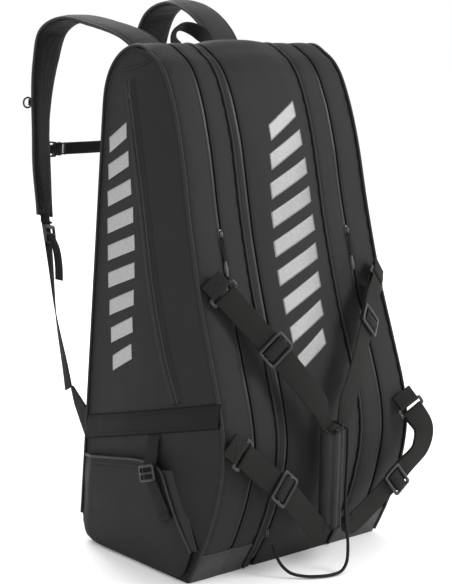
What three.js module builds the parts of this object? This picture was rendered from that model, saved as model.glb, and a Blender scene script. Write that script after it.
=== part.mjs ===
// Three-compartment racket bag, standing on its base.
// Millimetres, +Z up. -Y is the zip side with the carry handles, +Y is the side worn against the back,
// and the origin is the middle of the base on the floor.
import * as THREE from 'three';

// ---- driving dimensions ----
const HEIGHT = 780;
const BASE_WIDTH = 400;
const TOP_TAPER = 0.9;          // width at the crest over width at the base
const BACK_Y = 149;             // outer face of the back panel
const BASE_FRONT_Y = -104;
const BASE_BACK_Y = 108;        // where the base starts to curve up into the back panel
const BACK_FOOT_Z = 40;
const BACK_HEAD_Z = 690;
const SHELL = 4;                // padded fabric wall
const BACK_PAD = 7;             // foam-backed back panel
const BASE_BOARD = 3;
const LINING = 2;
const GAP = 0.4;                // clearance between neighbouring pieces
const PIPING_R = 2.6;
const PIPING_STAND = 1.8;       // how far side piping stands off the seam it covers
const ZIP_WIDTH = 26;
const ZIP_THICK = 2;
const DIVIDER_AT = 0.235;       // share of the width, from the middle, where a divider is sewn in
const OUTER_ZIP_AT = 0.36;
const CENTRE_ZIP_AT = -0.188;
const BOOT_HEIGHT = 50;
const BOOT_THICK = 1.6;
const WEBBING = 38;
const WEBBING_THICK = 2.4;
const PAD_WIDTH = 62;
const PAD_THICK = 11;
const HALF = BASE_WIDTH / 2;

// ---- materials ----
const finish = (color, roughness, metalness = 0) =>
  new THREE.MeshStandardMaterial({ color, roughness, metalness });
const polyester = finish(0x343235, 0.8);
const coated = finish(0x424246, 0.6);
const lining = finish(0x2a2a2c, 0.9);
const mesh = finish(0x2b2b2d, 0.95);
const webbing = finish(0x3a3a38, 0.85);
const plastic = finish(0x2c2c2e, 0.45);
const cordMaterial = finish(0x2f2f30, 0.8);

const bag = new THREE.Group();

function add(name, geometry, material) {
  const piece = new THREE.Mesh(geometry, material);
  piece.name = name;
  bag.add(piece);
  return piece;
}

const v2 = (y, z) => new THREE.Vector2(y, z);
const v3 = (x, y, z) => new THREE.Vector3(x, y, z);

// ---- outline of the bag seen from the side, as paths in Y and Z ----
function spinePath() {
  const path = new THREE.Path();
  path.moveTo(BASE_FRONT_Y, 0);
  path.splineThru([
    v2(-132, 62), v2(-152, 125), v2(-162, 195), v2(-153, 255), v2(-128, 325), v2(-92, 420),
    v2(-58, 530), v2(-30, 635), v2(-3, 708), v2(26, 754), v2(72, HEIGHT),
  ]);
  path.bezierCurveTo(108, HEIGHT, BACK_Y, 752, BACK_Y, BACK_HEAD_Z);
  return path;
}

function basePath() {
  const path = new THREE.Path();
  path.moveTo(BASE_FRONT_Y + SHELL + 3, 0);
  path.lineTo(BASE_BACK_Y, 0);
  path.quadraticCurveTo(BACK_Y, 0, BACK_Y, BACK_FOOT_Z);
  return path;
}

const spine = spinePath().getSpacedPoints(44);

// Points of a path moved sideways; positive moves to the right of the direction of travel.
function offset(points, distance) {
  return points.map((point, i) => {
    const before = points[Math.max(i - 1, 0)];
    const after = points[Math.min(i + 1, points.length - 1)];
    const along = after.clone().sub(before).normalize();
    return v2(point.x + along.y * distance, point.y - along.x * distance);
  });
}

// A closed strip outline between two offsets of a path.
function strip(points, near, far) {
  return new THREE.Shape([...offset(points, near), ...offset(points, far).reverse()]);
}

// Extrudes an outline drawn in Y and Z across the bag, from x0 to x1, and narrows it towards the crest.
function acrossBag(shape, x0, x1) {
  const geometry = new THREE.ExtrudeGeometry(shape, { depth: x1 - x0, bevelEnabled: false, curveSegments: 12 });
  geometry.applyMatrix4(new THREE.Matrix4().makeBasis(v3(0, 1, 0), v3(0, 0, 1), v3(1, 0, 0)));
  geometry.translate(x0, 0, 0);
  return taper(geometry);
}

const taperAt = (z) => 1 - (1 - TOP_TAPER) * Math.min(z, HEIGHT) / HEIGHT;

function taper(geometry) {
  const position = geometry.attributes.position;
  for (let i = 0; i < position.count; i += 1) {
    position.setX(i, position.getX(i) * taperAt(position.getZ(i)));
  }
  return geometry;
}

// Height of the front of the spine, as the Y of its outer face.
function frontY(z) {
  const rising = spine.filter((point) => point.x < 72);
  const i = rising.findIndex((point) => point.y >= z);
  const low = rising[i - 1];
  const high = rising[i];
  return THREE.MathUtils.mapLinear(z, low.y, high.y, low.x, high.x);
}

// ---- shell ----
add('base_panel', acrossBag(strip(basePath().getPoints(6), 0, -BASE_BOARD), -HALF + GAP, HALF - GAP), coated);

function backPanelShape() {
  const shape = new THREE.Shape();
  shape.moveTo(BACK_Y, BACK_FOOT_Z + GAP);
  shape.lineTo(BACK_Y, BACK_HEAD_Z - GAP);
  shape.lineTo(BACK_Y - BACK_PAD, BACK_HEAD_Z - GAP - 6);
  shape.lineTo(BACK_Y - BACK_PAD, BACK_FOOT_Z + GAP + 6);
  return shape;
}
add('back_panel', acrossBag(backPanelShape(), -HALF + GAP, HALF - GAP), mesh);

function sideShape(inset) {
  const outline = [
    ...offset(spine, inset),
    v2(BACK_Y - inset, BACK_FOOT_Z),
    v2(BACK_Y - 10 - inset, 12 + inset),
    v2(BASE_BACK_Y, inset),
  ];
  outline[0].y = inset;
  return new THREE.Shape(outline);
}
for (const [name, side] of [['left', -1], ['right', 1]]) {
  const inner = side * HALF;
  const outer = side * (HALF + SHELL);
  add(`side_panel_${name}`, acrossBag(sideShape(0), Math.min(inner, outer), Math.max(inner, outer)), polyester);
}

// Strips of the spine, from the left side to the right, with a zip or a piped seam in each break.
const seamBreak = PIPING_R + GAP;
const zipBreak = ZIP_WIDTH / 2 + GAP;
const dividerX = DIVIDER_AT * BASE_WIDTH;
const outerZipX = OUTER_ZIP_AT * BASE_WIDTH;
const centreZipX = CENTRE_ZIP_AT * BASE_WIDTH;
const spineStrips = {
  gusset_left_outer: [-HALF + GAP, -outerZipX - zipBreak],
  gusset_left_inner: [-outerZipX + zipBreak, -dividerX - seamBreak],
  centre_panel: [centreZipX + zipBreak, dividerX - seamBreak],
  gusset_right_inner: [dividerX + seamBreak, outerZipX - zipBreak],
  gusset_right_outer: [outerZipX + zipBreak, HALF - GAP],
};
for (const [name, [x0, x1]] of Object.entries(spineStrips)) {
  add(name, acrossBag(strip(spine, 0, SHELL), x0, x1), polyester);
}

const zipCentres = { zip_left: -outerZipX, zip_centre: centreZipX, zip_right: outerZipX };
for (const [name, x] of Object.entries(zipCentres)) {
  add(name, acrossBag(strip(spine, 0.5, 0.5 + ZIP_THICK), x - ZIP_WIDTH / 2, x + ZIP_WIDTH / 2), lining);
}

// Dividers stand inside the shell, clear of it all round.
const dividerInset = BACK_PAD + 4;
for (const [name, side] of [['left', -1], ['right', 1]]) {
  const x = side * dividerX;
  add(`divider_${name}`, acrossBag(sideShape(dividerInset), x - LINING / 2, x + LINING / 2), lining);
}

// Piping: a cord of round section that stands out of each long seam.
function pipingGeometry(x, points) {
  const centres = points.map((point) => v3(x * taperAt(point.y), point.x, point.y));
  const route = new THREE.CatmullRomCurve3(centres);
  const section = new THREE.Shape().absarc(0, 0, PIPING_R, 0, Math.PI * 2);
  return new THREE.ExtrudeGeometry(section, { steps: 50, extrudePath: route, curveSegments: 4, bevelEnabled: false });
}
const proudOfSpine = offset(spine, -PIPING_R - PIPING_STAND).filter((point) => point.y > PIPING_R);
const backSeam = [500, 250, 50].map((z) => v2(BACK_Y + PIPING_R + PIPING_STAND, z));
for (const [name, side] of [['left', -1], ['right', 1]]) {
  const edgeX = side * (HALF + SHELL / 2);
  add(`piping_side_${name}`, pipingGeometry(edgeX, [...proudOfSpine, ...backSeam]), coated);
  add(`piping_divider_${name}`, pipingGeometry(side * dividerX, offset(spine, 1).slice(1, -1)), coated);
}

// Coated boots guard the bottom of the outer compartments.
const bootPath = spine.filter((point) => point.y < BOOT_HEIGHT && point.x < 0);
bootPath.push(v2(frontY(BOOT_HEIGHT), BOOT_HEIGHT));
const aboveFloor = (points) => points.map((point) => v2(point.x, Math.max(point.y, 0)));
const bootShape = new THREE.Shape([
  ...aboveFloor(offset(bootPath, -GAP)), ...aboveFloor(offset(bootPath, -GAP - BOOT_THICK)).reverse(),
]);
for (const [name, x0, x1] of [
  ['left', -HALF + GAP, -dividerX - seamBreak],
  ['right', dividerX + seamBreak, HALF - GAP],
]) {
  add(`boot_${name}`, acrossBag(bootShape, x0, x1), coated);
}

// ---- pieces laid on the left side panel ----
const sideFace = HALF + SHELL;
const leanAt = (z) => sideFace * taperAt(z);

// A flat piece drawn in Y and Z, lying over the left side panel between two distances from it.
function onLeftSide(shape, near, far) {
  return acrossBag(shape, -sideFace - far, -sideFace - near);
}

const sideZipPath = new THREE.SplineCurve([
  v2(89, 728), v2(68, 668), v2(44, 584), v2(20, 490), v2(-8, 400), v2(-40, 318), v2(-66, 268),
]).getSpacedPoints(12);
add('zip_side', onLeftSide(strip(sideZipPath, -9, 9), GAP, GAP + ZIP_THICK), lining);

const bandTop = [v2(143, 202), v2(-142, 286)];
const BAND_HEIGHT = 38;
add('pocket_band', onLeftSide(new THREE.Shape([
  v2(bandTop[0].x, bandTop[0].y), v2(bandTop[1].x, bandTop[1].y),
  v2(bandTop[1].x + 4, bandTop[1].y - BAND_HEIGHT), v2(bandTop[0].x, bandTop[0].y - BAND_HEIGHT),
]), ZIP_THICK + GAP * 2, ZIP_THICK + GAP * 2 + 2), polyester);

// The shoe pocket's outer panel leans out from the base to its mouth.
const POCKET_MOUTH = 17;
const POCKET_FOOT = 2;
const POCKET_LIP_Z = 138;
const POCKET_TOP_Z = 168;
const pocketShape = new THREE.Shape([
  v2(142, 30), v2(142, POCKET_LIP_Z), v2(-12, POCKET_TOP_Z), v2(-48, POCKET_TOP_Z - 4),
  v2(-84, 100), v2(-115, 52), v2(-90, 6), v2(106, 6), v2(130, 14),
]);
const pocketStandOff = (z) => THREE.MathUtils.mapLinear(z, 0, POCKET_TOP_Z, POCKET_FOOT, POCKET_MOUTH);

function leanOut(geometry) {
  const position = geometry.attributes.position;
  for (let i = 0; i < position.count; i += 1) {
    position.setX(i, position.getX(i) - pocketStandOff(position.getZ(i)));
  }
  return geometry;
}
add('shoe_pocket', leanOut(onLeftSide(pocketShape, 0, SHELL)), polyester);

// A folded gusset closes the pocket's slanting front edge.
const gussetFront = [v2(-56, 162), v2(-92, 98), v2(-116, 56)];
const gussetShape = strip(gussetFront, -6, -8);
add('pocket_gusset', onLeftSide(gussetShape, GAP + 1, POCKET_FOOT + 3), polyester);

// ---- straps: a flat band swept along a route, with its width direction named at each point ----
function band(route, widths, width, thickness, segments, taperedEnd = 1) {
  const centre = new THREE.CatmullRomCurve3(route);
  const across = new THREE.CatmullRomCurve3(widths.length > 1 ? widths : [widths[0], widths[0]]);
  const geometry = new THREE.BoxGeometry(1, width, thickness, segments, 1, 1);
  const position = geometry.attributes.position;
  for (let i = 0; i < position.count; i += 1) {
    const t = THREE.MathUtils.clamp(position.getX(i) + 0.5, 0, 1);
    const { point, side, up } = frameAt(centre, across, t);
    const fullness = THREE.MathUtils.lerp(1, taperedEnd, THREE.MathUtils.smoothstep(t, 0.8, 1));
    point.addScaledVector(side, position.getY(i) * fullness);
    point.addScaledVector(up, position.getZ(i));
    position.setXYZ(i, point.x, point.y, point.z);
  }
  return geometry;
}

function frameAt(centre, across, t) {
  const point = centre.getPointAt(t);
  const tangent = centre.getTangentAt(t);
  const wanted = across.getPoint(t);
  const side = wanted.addScaledVector(tangent, -wanted.dot(tangent)).normalize();
  const up = tangent.clone().cross(side).normalize();
  return { point, tangent, side, up };
}

// A flat moulded frame with slots, lying on a band at t and lifted off it.
function moulded(shape, thickness, route, widths, t, lift) {
  const centre = new THREE.CatmullRomCurve3(route);
  const across = new THREE.CatmullRomCurve3(widths.length > 1 ? widths : [widths[0], widths[0]]);
  const { point, tangent, side, up } = frameAt(centre, across, t);
  const geometry = new THREE.ExtrudeGeometry(shape, { depth: thickness, bevelEnabled: false, curveSegments: 4 });
  geometry.translate(0, 0, lift);
  geometry.applyMatrix4(new THREE.Matrix4().makeBasis(tangent, side, up).setPosition(point));
  return geometry;
}

function rectangle(x0, x1, y0, y1) {
  return [v2(x0, y0), v2(x1, y0), v2(x1, y1), v2(x0, y1)];
}

// A rectangular buckle frame with the given slots; x runs along the webbing, y across it.
function buckleShape(length, width, slots) {
  const shape = new THREE.Shape(rectangle(-length / 2, length / 2, -width / 2, width / 2));
  for (const [x0, x1, slotWidth] of slots) {
    shape.holes.push(new THREE.Path(rectangle(x0, x1, -slotWidth / 2, slotWidth / 2)));
  }
  return shape;
}

// ---- carry handles on the spine ----
const gripTop = v3(-12, -199, 236);
const gripFoot = v3(12, -184, 70);
const GRIP_WIDTH = 36;
const GRIP_DEPTH = 30;
const GATHERED = 0.4;           // width left where a branch is gathered into the grip

function gripGeometry() {
  const shape = new THREE.Shape().absellipse(0, 0, GRIP_WIDTH / 2, GRIP_DEPTH / 2, 0, Math.PI * 2);
  const length = gripTop.distanceTo(gripFoot);
  const geometry = new THREE.ExtrudeGeometry(shape, {
    depth: length - 8, bevelEnabled: true, bevelThickness: 4, bevelSize: 3, bevelOffset: -3, bevelSegments: 1,
    curveSegments: 8,
  });
  geometry.translate(0, 0, 4);
  const along = gripTop.clone().sub(gripFoot).normalize();
  const side = v3(1, 0, 0).addScaledVector(along, -along.x).normalize();
  const depth = along.clone().cross(side);
  return geometry.applyMatrix4(new THREE.Matrix4().makeBasis(side, depth, along).setPosition(gripFoot));
}
add('carry_grip', gripGeometry(), webbing);

const handleBranches = {
  upper_left: {
    route: [v3(-156, -108, 430), v3(-128, -129, 394), v3(-92, -154, 348), v3(-54, -182, 296), v3(-23, -199, 248)],
    widths: [v3(0.63, -0.1, 0.75), v3(0.75, -0.1, 0.62), v3(1, 0, 0.35)],
    glide: 0.44,
  },
  upper_right: {
    route: [v3(160, -114, 424), v3(134, -131, 400), v3(102, -152, 364), v3(52, -182, 302), v3(3, -204, 247)],
    widths: [v3(0.7, 0.1, -0.7), v3(0.75, 0.1, -0.62), v3(1, 0, -0.4)],
    glide: 0.31,
  },
  lower_left: {
    route: [v3(-168, -177, 206), v3(-138, -184, 180), v3(-98, -189, 148), v3(-48, -191, 98), v3(-2, -193, 51)],
    widths: [v3(0.6, 0.05, 0.8), v3(0.6, 0.05, 0.8), v3(0.8, 0, 0.6)],
    glide: 0.38,
  },
  lower_right: {
    route: [v3(192, -183, 224), v3(204, -197, 198), v3(192, -203, 168), v3(158, -198, 138), v3(120, -192, 104),
      v3(80, -188, 76), v3(34, -190, 56)],
    widths: [v3(0.8, -0.1, 0.5), v3(0.95, 0, 0.1), v3(0.75, 0, -0.65), v3(0.6, 0, -0.8), v3(0.3, 0, -1)],
    glide: 0.5,
  },
};
const glideShape = buckleShape(34, 50, [[-12, -2.5, 41], [2.5, 12, 40.6]]);
for (const [name, branch] of Object.entries(handleBranches)) {
  add(`handle_web_${name}`, band(branch.route, branch.widths, WEBBING, WEBBING_THICK, 18, GATHERED), webbing);
}

const GLIDE_THICK = 4;
const BUCKLE_RISE = 1.8;        // room for the webbing's curve under a flat frame

// A frame lies on whichever face of the webbing looks away from the bag.
function outwardLift(branch, thickness) {
  const centre = new THREE.CatmullRomCurve3(branch.route);
  const across = new THREE.CatmullRomCurve3(branch.widths);
  const rise = WEBBING_THICK / 2 + BUCKLE_RISE;
  return frameAt(centre, across, branch.glide).up.y < 0 ? rise : -rise - thickness;
}

for (const [name, branch] of Object.entries(handleBranches)) {
  const lift = outwardLift(branch, GLIDE_THICK);
  const glide = moulded(glideShape, GLIDE_THICK, branch.route, branch.widths, branch.glide, lift);
  add(`tri_glide_${name}`, glide, plastic);
}

// Sewn tab and rectangular ring at the outer end of each branch.
const ANCHOR_THICK = 3.6;
const anchorOutline = [
  v2(-30, -18), v2(-15, -18), v2(-15, -25), v2(-GAP, -25), v2(-GAP, 25), v2(-15, 25), v2(-15, 18), v2(-30, 18),
];
const anchorShape = new THREE.Shape(anchorOutline);
anchorShape.holes.push(new THREE.Path(rectangle(-10, -4, -20.5, 20.5)));
for (const [name, branch] of Object.entries(handleBranches)) {
  const anchor = moulded(anchorShape, ANCHOR_THICK, branch.route, branch.widths, 0, -ANCHOR_THICK / 2);
  add(`anchor_${name}`, anchor, webbing);
}

// ---- strap that closes the shoe pocket ----
const pocketStrap = {
  route: [v3(-214, -24, 200), v3(-219, -28, 182), v3(-228, -34, 162), v3(-225, -48, 128), v3(-220, -70, 92)],
  widths: [v3(0, 1, 0), v3(0, 1, 0), v3(0, 0.9, -0.4)],
};
const STRAP_WIDTH = 25;
add('pocket_strap', band(pocketStrap.route, pocketStrap.widths, STRAP_WIDTH, 1.8, 12), webbing);
const smallLock = buckleShape(26, 34, [[-9, -1.5, 27], [2, 9, 26.6]]);
add('pocket_lock', moulded(smallLock, 3.5, pocketStrap.route, pocketStrap.widths, 0.38, -0.9 - BUCKLE_RISE - 3.5), plastic);

// ---- backpack straps ----
const shoulderRoutes = {
  left: {
    route: [v3(-80, 164, 744), v3(-83, 172, 766), v3(-90, 196, 784), v3(-108, 244, 800), v3(-128, 304, 806),
      v3(-142, 338, 784), v3(-151, 345, 735), v3(-159, 343, 665), v3(-167, 328, 580), v3(-177, 302, 492)],
    widths: [v3(1, 0, 0), v3(1, 0, 0), v3(0.97, 0.2, 0), v3(0.86, 0.5, 0), v3(0.92, 0.39, 0)],
    tab: v3(-206, 190, 232),
  },
  right: {
    route: [v3(80, 164, 744), v3(80, 171, 768), v3(80, 194, 797), v3(79, 236, 824), v3(77, 284, 834),
      v3(74, 326, 814), v3(72, 348, 764), v3(71, 352, 690), v3(76, 337, 596), v3(88, 302, 500)],
    widths: [v3(1, 0, 0), v3(1, 0, 0), v3(0.97, -0.2, 0), v3(0.92, -0.39, 0), v3(0.92, -0.39, 0)],
    tab: v3(206, 190, 232),
  },
};
const lockShape = buckleShape(30, 34, [[-11, -2, 27], [2, 11, 26.6]]);
for (const [name, strap] of Object.entries(shoulderRoutes)) {
  add(`shoulder_pad_${name}`, band(strap.route, strap.widths, PAD_WIDTH, PAD_THICK, 30, 0.7), mesh);
}
for (const [name, strap] of Object.entries(shoulderRoutes)) {
  const padEnd = strap.route.at(-1);
  const across = strap.widths.at(-1);
  const pull = strap.tab.clone().sub(padEnd);
  const along = pull.clone().normalize();
  const webStart = padEnd.clone().addScaledVector(along, 9);
  const webEnd = strap.tab.clone().addScaledVector(along, -2);
  const sag = webStart.clone().lerp(webEnd, 0.5).add(v3(0, 4, -6));
  const web = { route: [webStart, sag, webEnd], widths: [across, v3(0.2, Math.sign(across.y), 0)] };
  add(`adjuster_web_${name}`, band(web.route, web.widths, STRAP_WIDTH, 1.8, 14), webbing);
  add(`ladder_lock_${name}`, moulded(lockShape, 4, web.route, web.widths, 0.08, 0.9 + BUCKLE_RISE), plastic);
  const side = Math.sign(strap.tab.x);
  const tabShape = new THREE.Shape([v2(BACK_Y + 9, 152), v2(BACK_Y + 9, 198), v2(194, 236), v2(184, 210)]);
  const tabX = side * (HALF - 4);
  const tab = new THREE.ExtrudeGeometry(tabShape, { depth: 4, bevelEnabled: false });
  tab.applyMatrix4(new THREE.Matrix4().makeBasis(v3(0, 1, 0), v3(0, 0, 1), v3(1, 0, 0)).setPosition(tabX - 2, 0, 0));
  add(`lower_tab_${name}`, tab, webbing);
}

// ---- chest strap between the pads ----
const CHEST_Y = 363;
const CHEST_Z = 590;
const chestBlock = (x0, x1, width, thick) => {
  const block = new THREE.BoxGeometry(x1 - x0, thick, width);
  return block.translate((x0 + x1) / 2, CHEST_Y, CHEST_Z);
};
const chestSplit = -112;
add('chest_socket', chestBlock(-136, chestSplit - GAP, 26, 9), plastic);
add('chest_plug', chestBlock(chestSplit, -92, 24, 7), plastic);
add('chest_web', chestBlock(-92 + GAP, 62, 20, 1.8), webbing);

// ---- grab handle at the top of the back ----
const grabRoute = [v3(-32, 153, 750), v3(-34, 157, 765), v3(-29, 172, 789), v3(0, 185, 802), v3(29, 172, 789),
  v3(34, 157, 765), v3(32, 153, 750)];
const grabWidths = [v3(1, 0, 0), v3(1, 0.15, 0), v3(0.6, 0.8, -0.5), v3(0, 0.8, -0.6), v3(-0.6, 0.8, -0.5),
  v3(-1, 0.15, 0), v3(-1, 0, 0)];
add('grab_handle', band(grabRoute, grabWidths, 24, 3, 30), webbing);

// ---- zip sliders and their pulls; s runs along the zip and n away from it ----
const sliderShape = new THREE.Shape([
  v2(-8, GAP), v2(8, GAP), v2(8, 3), v2(5, 3.4), v2(4, 6.4), v2(-4, 6.4), v2(-5, 3.4), v2(-8, 3),
]);
sliderShape.holes.push(new THREE.Path(rectangle(-2.6, 2.7, 3.7, 5.2)));
const SLIDER_WIDTH = 9;

function settle(geometry, point, along, out) {
  const across = along.clone().cross(out).normalize();
  return geometry.applyMatrix4(new THREE.Matrix4().makeBasis(along, out, across).setPosition(point));
}

function slider(point, along, out) {
  const geometry = new THREE.ExtrudeGeometry(sliderShape, { depth: SLIDER_WIDTH, bevelEnabled: false });
  return settle(geometry.translate(0, 0, -SLIDER_WIDTH / 2), point, along, out);
}

function pull(length, point, along, out) {
  const outline = [v2(-3, -9), v2(3, -9), v2(2.4, -length + 16), v2(4, -length), v2(-4, -length), v2(-2.4, -length + 16)];
  const geometry = new THREE.ExtrudeGeometry(new THREE.Shape(outline.reverse()), { depth: 1.8, bevelEnabled: false });
  geometry.applyMatrix4(new THREE.Matrix4().makeBasis(v3(0, 0, 1), v3(1, 0, 0), v3(0, 1, 0)).setPosition(0, 2.4, 0));
  return settle(geometry, point, along, out);
}

function frontPlace(x, z) {
  const reach = 20;
  const along = v3(0, frontY(z + reach) - frontY(z - reach), 2 * reach).normalize();
  const out = v3(0, -along.z, along.y);
  return { point: v3(x * taperAt(z), frontY(z), z), along, out };
}
for (const [name, x, z] of [['left', -outerZipX, 513], ['right', outerZipX, 500]]) {
  const { point, along, out } = frontPlace(x, z);
  add(`slider_${name}`, slider(point, along, out), plastic);
  add(`pull_${name}`, pull(60, point, along, out), cordMaterial);
}
const low = frontPlace(centreZipX, 62);
add('slider_centre', slider(low.point, low.along, low.out), plastic);

const sideOut = v3(-1, 0, -(1 - TOP_TAPER) * HALF / HEIGHT).normalize();
const sideAlong = v3(0, 20, 58).addScaledVector(sideOut, -v3(0, 20, 58).dot(sideOut)).normalize();
const sidePoint = v3(-leanAt(706) - GAP - ZIP_THICK, 81.5, 706);
add('slider_side', slider(sidePoint, sideAlong, sideOut), plastic);
add('pull_side', pull(48, sidePoint, sideAlong, sideOut), cordMaterial);

// ---- keeper cord from the lower zip to the carry grip ----
const CORD_R = 2.5;
const cordRoute = [
  v3(-75, -149, 46), v3(-74, -156, 34), v3(-71, -165, 20), v3(-64, -178, 9), v3(-50, -192, 4.5), v3(-30, -205, 3.6),
  v3(-6, -213, 3.6), v3(13, -214, 6), v3(26, -211, 16), v3(34, -205, 32), v3(37, -200, 50), v3(36, -196, 70),
  v3(33, -195, 95), v3(29, -197, 125), v3(24, -201, 158), v3(19, -205, 190), v3(14, -208, 218), v3(12, -209, 230),
];
const cordSection = new THREE.Shape().absarc(0, 0, CORD_R, 0, Math.PI * 2);
add('keeper_cord', new THREE.ExtrudeGeometry(cordSection, {
  steps: 60, extrudePath: new THREE.CatmullRomCurve3(cordRoute), curveSegments: 4, bevelEnabled: false,
}), cordMaterial);

// ---- ring on the outer edge of the left pad ----
const RING_R = 8;
const ring = new THREE.TorusGeometry(RING_R, 1.4, 6, 16);
add('pad_ring', ring.rotateX(Math.PI / 2).translate(-198.5, 327, 672), plastic);

bag.updateMatrixWorld(true);
export default bag;
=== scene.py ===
# Racket bag: fabric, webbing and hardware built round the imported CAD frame.
# Sizes are in millimetres until a mesh is made; +Z is up and -Y is the zip side.
import math

import bmesh
import bpy
import numpy as np
from mathutils import Matrix, Vector, noise


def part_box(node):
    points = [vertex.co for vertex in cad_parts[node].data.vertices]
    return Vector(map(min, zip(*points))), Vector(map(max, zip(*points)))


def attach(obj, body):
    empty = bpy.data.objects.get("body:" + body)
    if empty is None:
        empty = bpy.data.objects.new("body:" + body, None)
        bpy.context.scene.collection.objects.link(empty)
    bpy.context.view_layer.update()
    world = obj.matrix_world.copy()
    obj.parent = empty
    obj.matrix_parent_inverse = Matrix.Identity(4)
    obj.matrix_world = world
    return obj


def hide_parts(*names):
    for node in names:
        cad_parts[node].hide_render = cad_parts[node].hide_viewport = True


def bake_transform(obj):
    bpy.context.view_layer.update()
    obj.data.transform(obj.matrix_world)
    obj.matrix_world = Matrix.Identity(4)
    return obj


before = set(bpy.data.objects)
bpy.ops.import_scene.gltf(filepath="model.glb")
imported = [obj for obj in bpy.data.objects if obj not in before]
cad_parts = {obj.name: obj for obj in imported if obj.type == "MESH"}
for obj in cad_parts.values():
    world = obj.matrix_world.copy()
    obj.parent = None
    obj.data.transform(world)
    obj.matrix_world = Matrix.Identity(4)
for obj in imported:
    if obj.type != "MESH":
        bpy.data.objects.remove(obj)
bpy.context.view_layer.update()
MM = 0.001


# ---------------------------------------------------------------- sizes read from the frame
def node_box(name):
    low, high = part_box(name)
    return np.array(low) / MM, np.array(high) / MM


PANEL_HIGH = node_box("side_panel_right")[1]
HEIGHT = PANEL_HIGH[2]
HALF = PANEL_HIGH[0]                      # outer face of a side panel at the base
BACK_Y = PANEL_HIGH[1]
BACK_HEAD_Z = node_box("back_panel")[1][2]
BACK_FOOT_Z = node_box("back_panel")[0][2]
TOP_TAPER = 0.9


def taper(z):
    return 1 - (1 - TOP_TAPER) * np.clip(z, 0, HEIGHT) / HEIGHT


ZIP_X = {name: 0.0 for name in ("left", "centre", "right")}
for zip_name in ZIP_X:
    low, high = node_box(f"zip_{zip_name}")
    far = max(abs(low[0]), abs(high[0]))
    ZIP_X[zip_name] = math.copysign(far - 13, low[0] + high[0])
DIVIDER_X = max(abs(v) for v in (node_box("divider_left")[0][0], node_box("divider_right")[1][0])) - 1


# ---------------------------------------------------------------- small maths
def resample(points, count):
    """Evenly spaced points along a polyline."""
    points = np.asarray(points, float)
    steps = np.linalg.norm(np.diff(points, axis=0), axis=1)
    reach = np.concatenate([[0], np.cumsum(steps)])
    wanted = np.linspace(0, reach[-1], count)
    return np.stack([np.interp(wanted, reach, column) for column in points.T], -1)


def smoothed(points, passes):
    points = points.copy()
    for _ in range(passes):
        points[1:-1] = (points[:-2] + 2 * points[1:-1] + points[2:]) / 4
    return points


def curve_points(points, shares):
    """Points on a centripetal Catmull-Rom curve; a share of 0 to 1 counts whole spans evenly."""
    points = np.asarray(points, float)
    ends = np.vstack([2 * points[0] - points[1], points, 2 * points[-1] - points[-2]])
    spans = len(points) - 1
    found = []
    for share in shares:
        i = min(int(share * spans), spans - 1)
        p0, p1, p2, p3 = ends[i:i + 4]
        knots = [0.0]
        for a, b in ((p0, p1), (p1, p2), (p2, p3)):
            knots.append(knots[-1] + max(np.linalg.norm(b - a), 1e-6) ** 0.5)
        t0, t1, t2, t3 = knots
        t = t1 + (t2 - t1) * (share * spans - i)
        a1 = (t1 - t) / (t1 - t0) * p0 + (t - t0) / (t1 - t0) * p1
        a2 = (t2 - t) / (t2 - t1) * p1 + (t - t1) / (t2 - t1) * p2
        a3 = (t3 - t) / (t3 - t2) * p2 + (t - t2) / (t3 - t2) * p3
        b1 = (t2 - t) / (t2 - t0) * a1 + (t - t0) / (t2 - t0) * a2
        b2 = (t3 - t) / (t3 - t1) * a2 + (t - t1) / (t3 - t1) * a3
        found.append((t2 - t) / (t2 - t1) * b1 + (t - t1) / (t2 - t1) * b2)
    return np.array(found)


def spline(points, count):
    """The same curve as evenly spaced points."""
    dense = np.linspace(0, 1, 24 * (len(points) - 1) + 1)
    return resample(curve_points(points, dense), count)


def unit(vectors):
    return vectors / np.maximum(np.linalg.norm(vectors, axis=-1, keepdims=True), 1e-9)


def tangents(points):
    return unit(np.gradient(points, axis=0))


def bump(distance, width):
    return np.exp(-(distance / width) ** 2)


def smoothstep(low, high, value):
    t = np.clip((value - low) / (high - low), 0, 1)
    return t * t * (3 - 2 * t)


def cloth_noise(points, size, seed):
    """Smooth noise from -1 to 1 over an array of points in millimetres."""
    flat = points.reshape(-1, 3) / size + seed * 17.3
    values = [noise.noise(Vector(p)) for p in flat]
    return np.array(values).reshape(points.shape[:-1])


# ---------------------------------------------------------------- meshes
def make_mesh(name, verts, faces, material, uv=None, closed=False):
    """An object from points in millimetres; uv holds one pair in metres for each vertex."""
    mesh = bpy.data.meshes.new(name)
    mesh.from_pydata((np.asarray(verts) * MM).tolist(), [], [list(map(int, f)) for f in faces])
    if uv is not None:
        layer = mesh.uv_layers.new(name="cloth")
        loops = np.zeros(len(mesh.loops), int)
        mesh.loops.foreach_get("vertex_index", loops)
        layer.data.foreach_set("uv", (np.asarray(uv)[loops]).astype(np.float32).ravel())
    if closed:
        work = bmesh.new()
        work.from_mesh(mesh)
        bmesh.ops.recalc_face_normals(work, faces=work.faces)
        work.to_mesh(mesh)
        work.free()
    mesh.shade_smooth()
    mesh.materials.append(material)
    obj = bpy.data.objects.new(name, mesh)
    bpy.context.scene.collection.objects.link(obj)
    return obj


def grid_faces(rows, cols, start=0, wrap=False):
    i, j = np.meshgrid(np.arange(rows - 1), np.arange(cols if wrap else cols - 1), indexing="ij")
    k = (j + 1) % cols
    quads = np.stack([i * cols + j, i * cols + k, (i + 1) * cols + k, (i + 1) * cols + j], -1)
    return quads.reshape(-1, 4) + start


def grid_normals(points):
    along, across = np.gradient(points, axis=(0, 1))
    return unit(np.cross(across, along))


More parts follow.
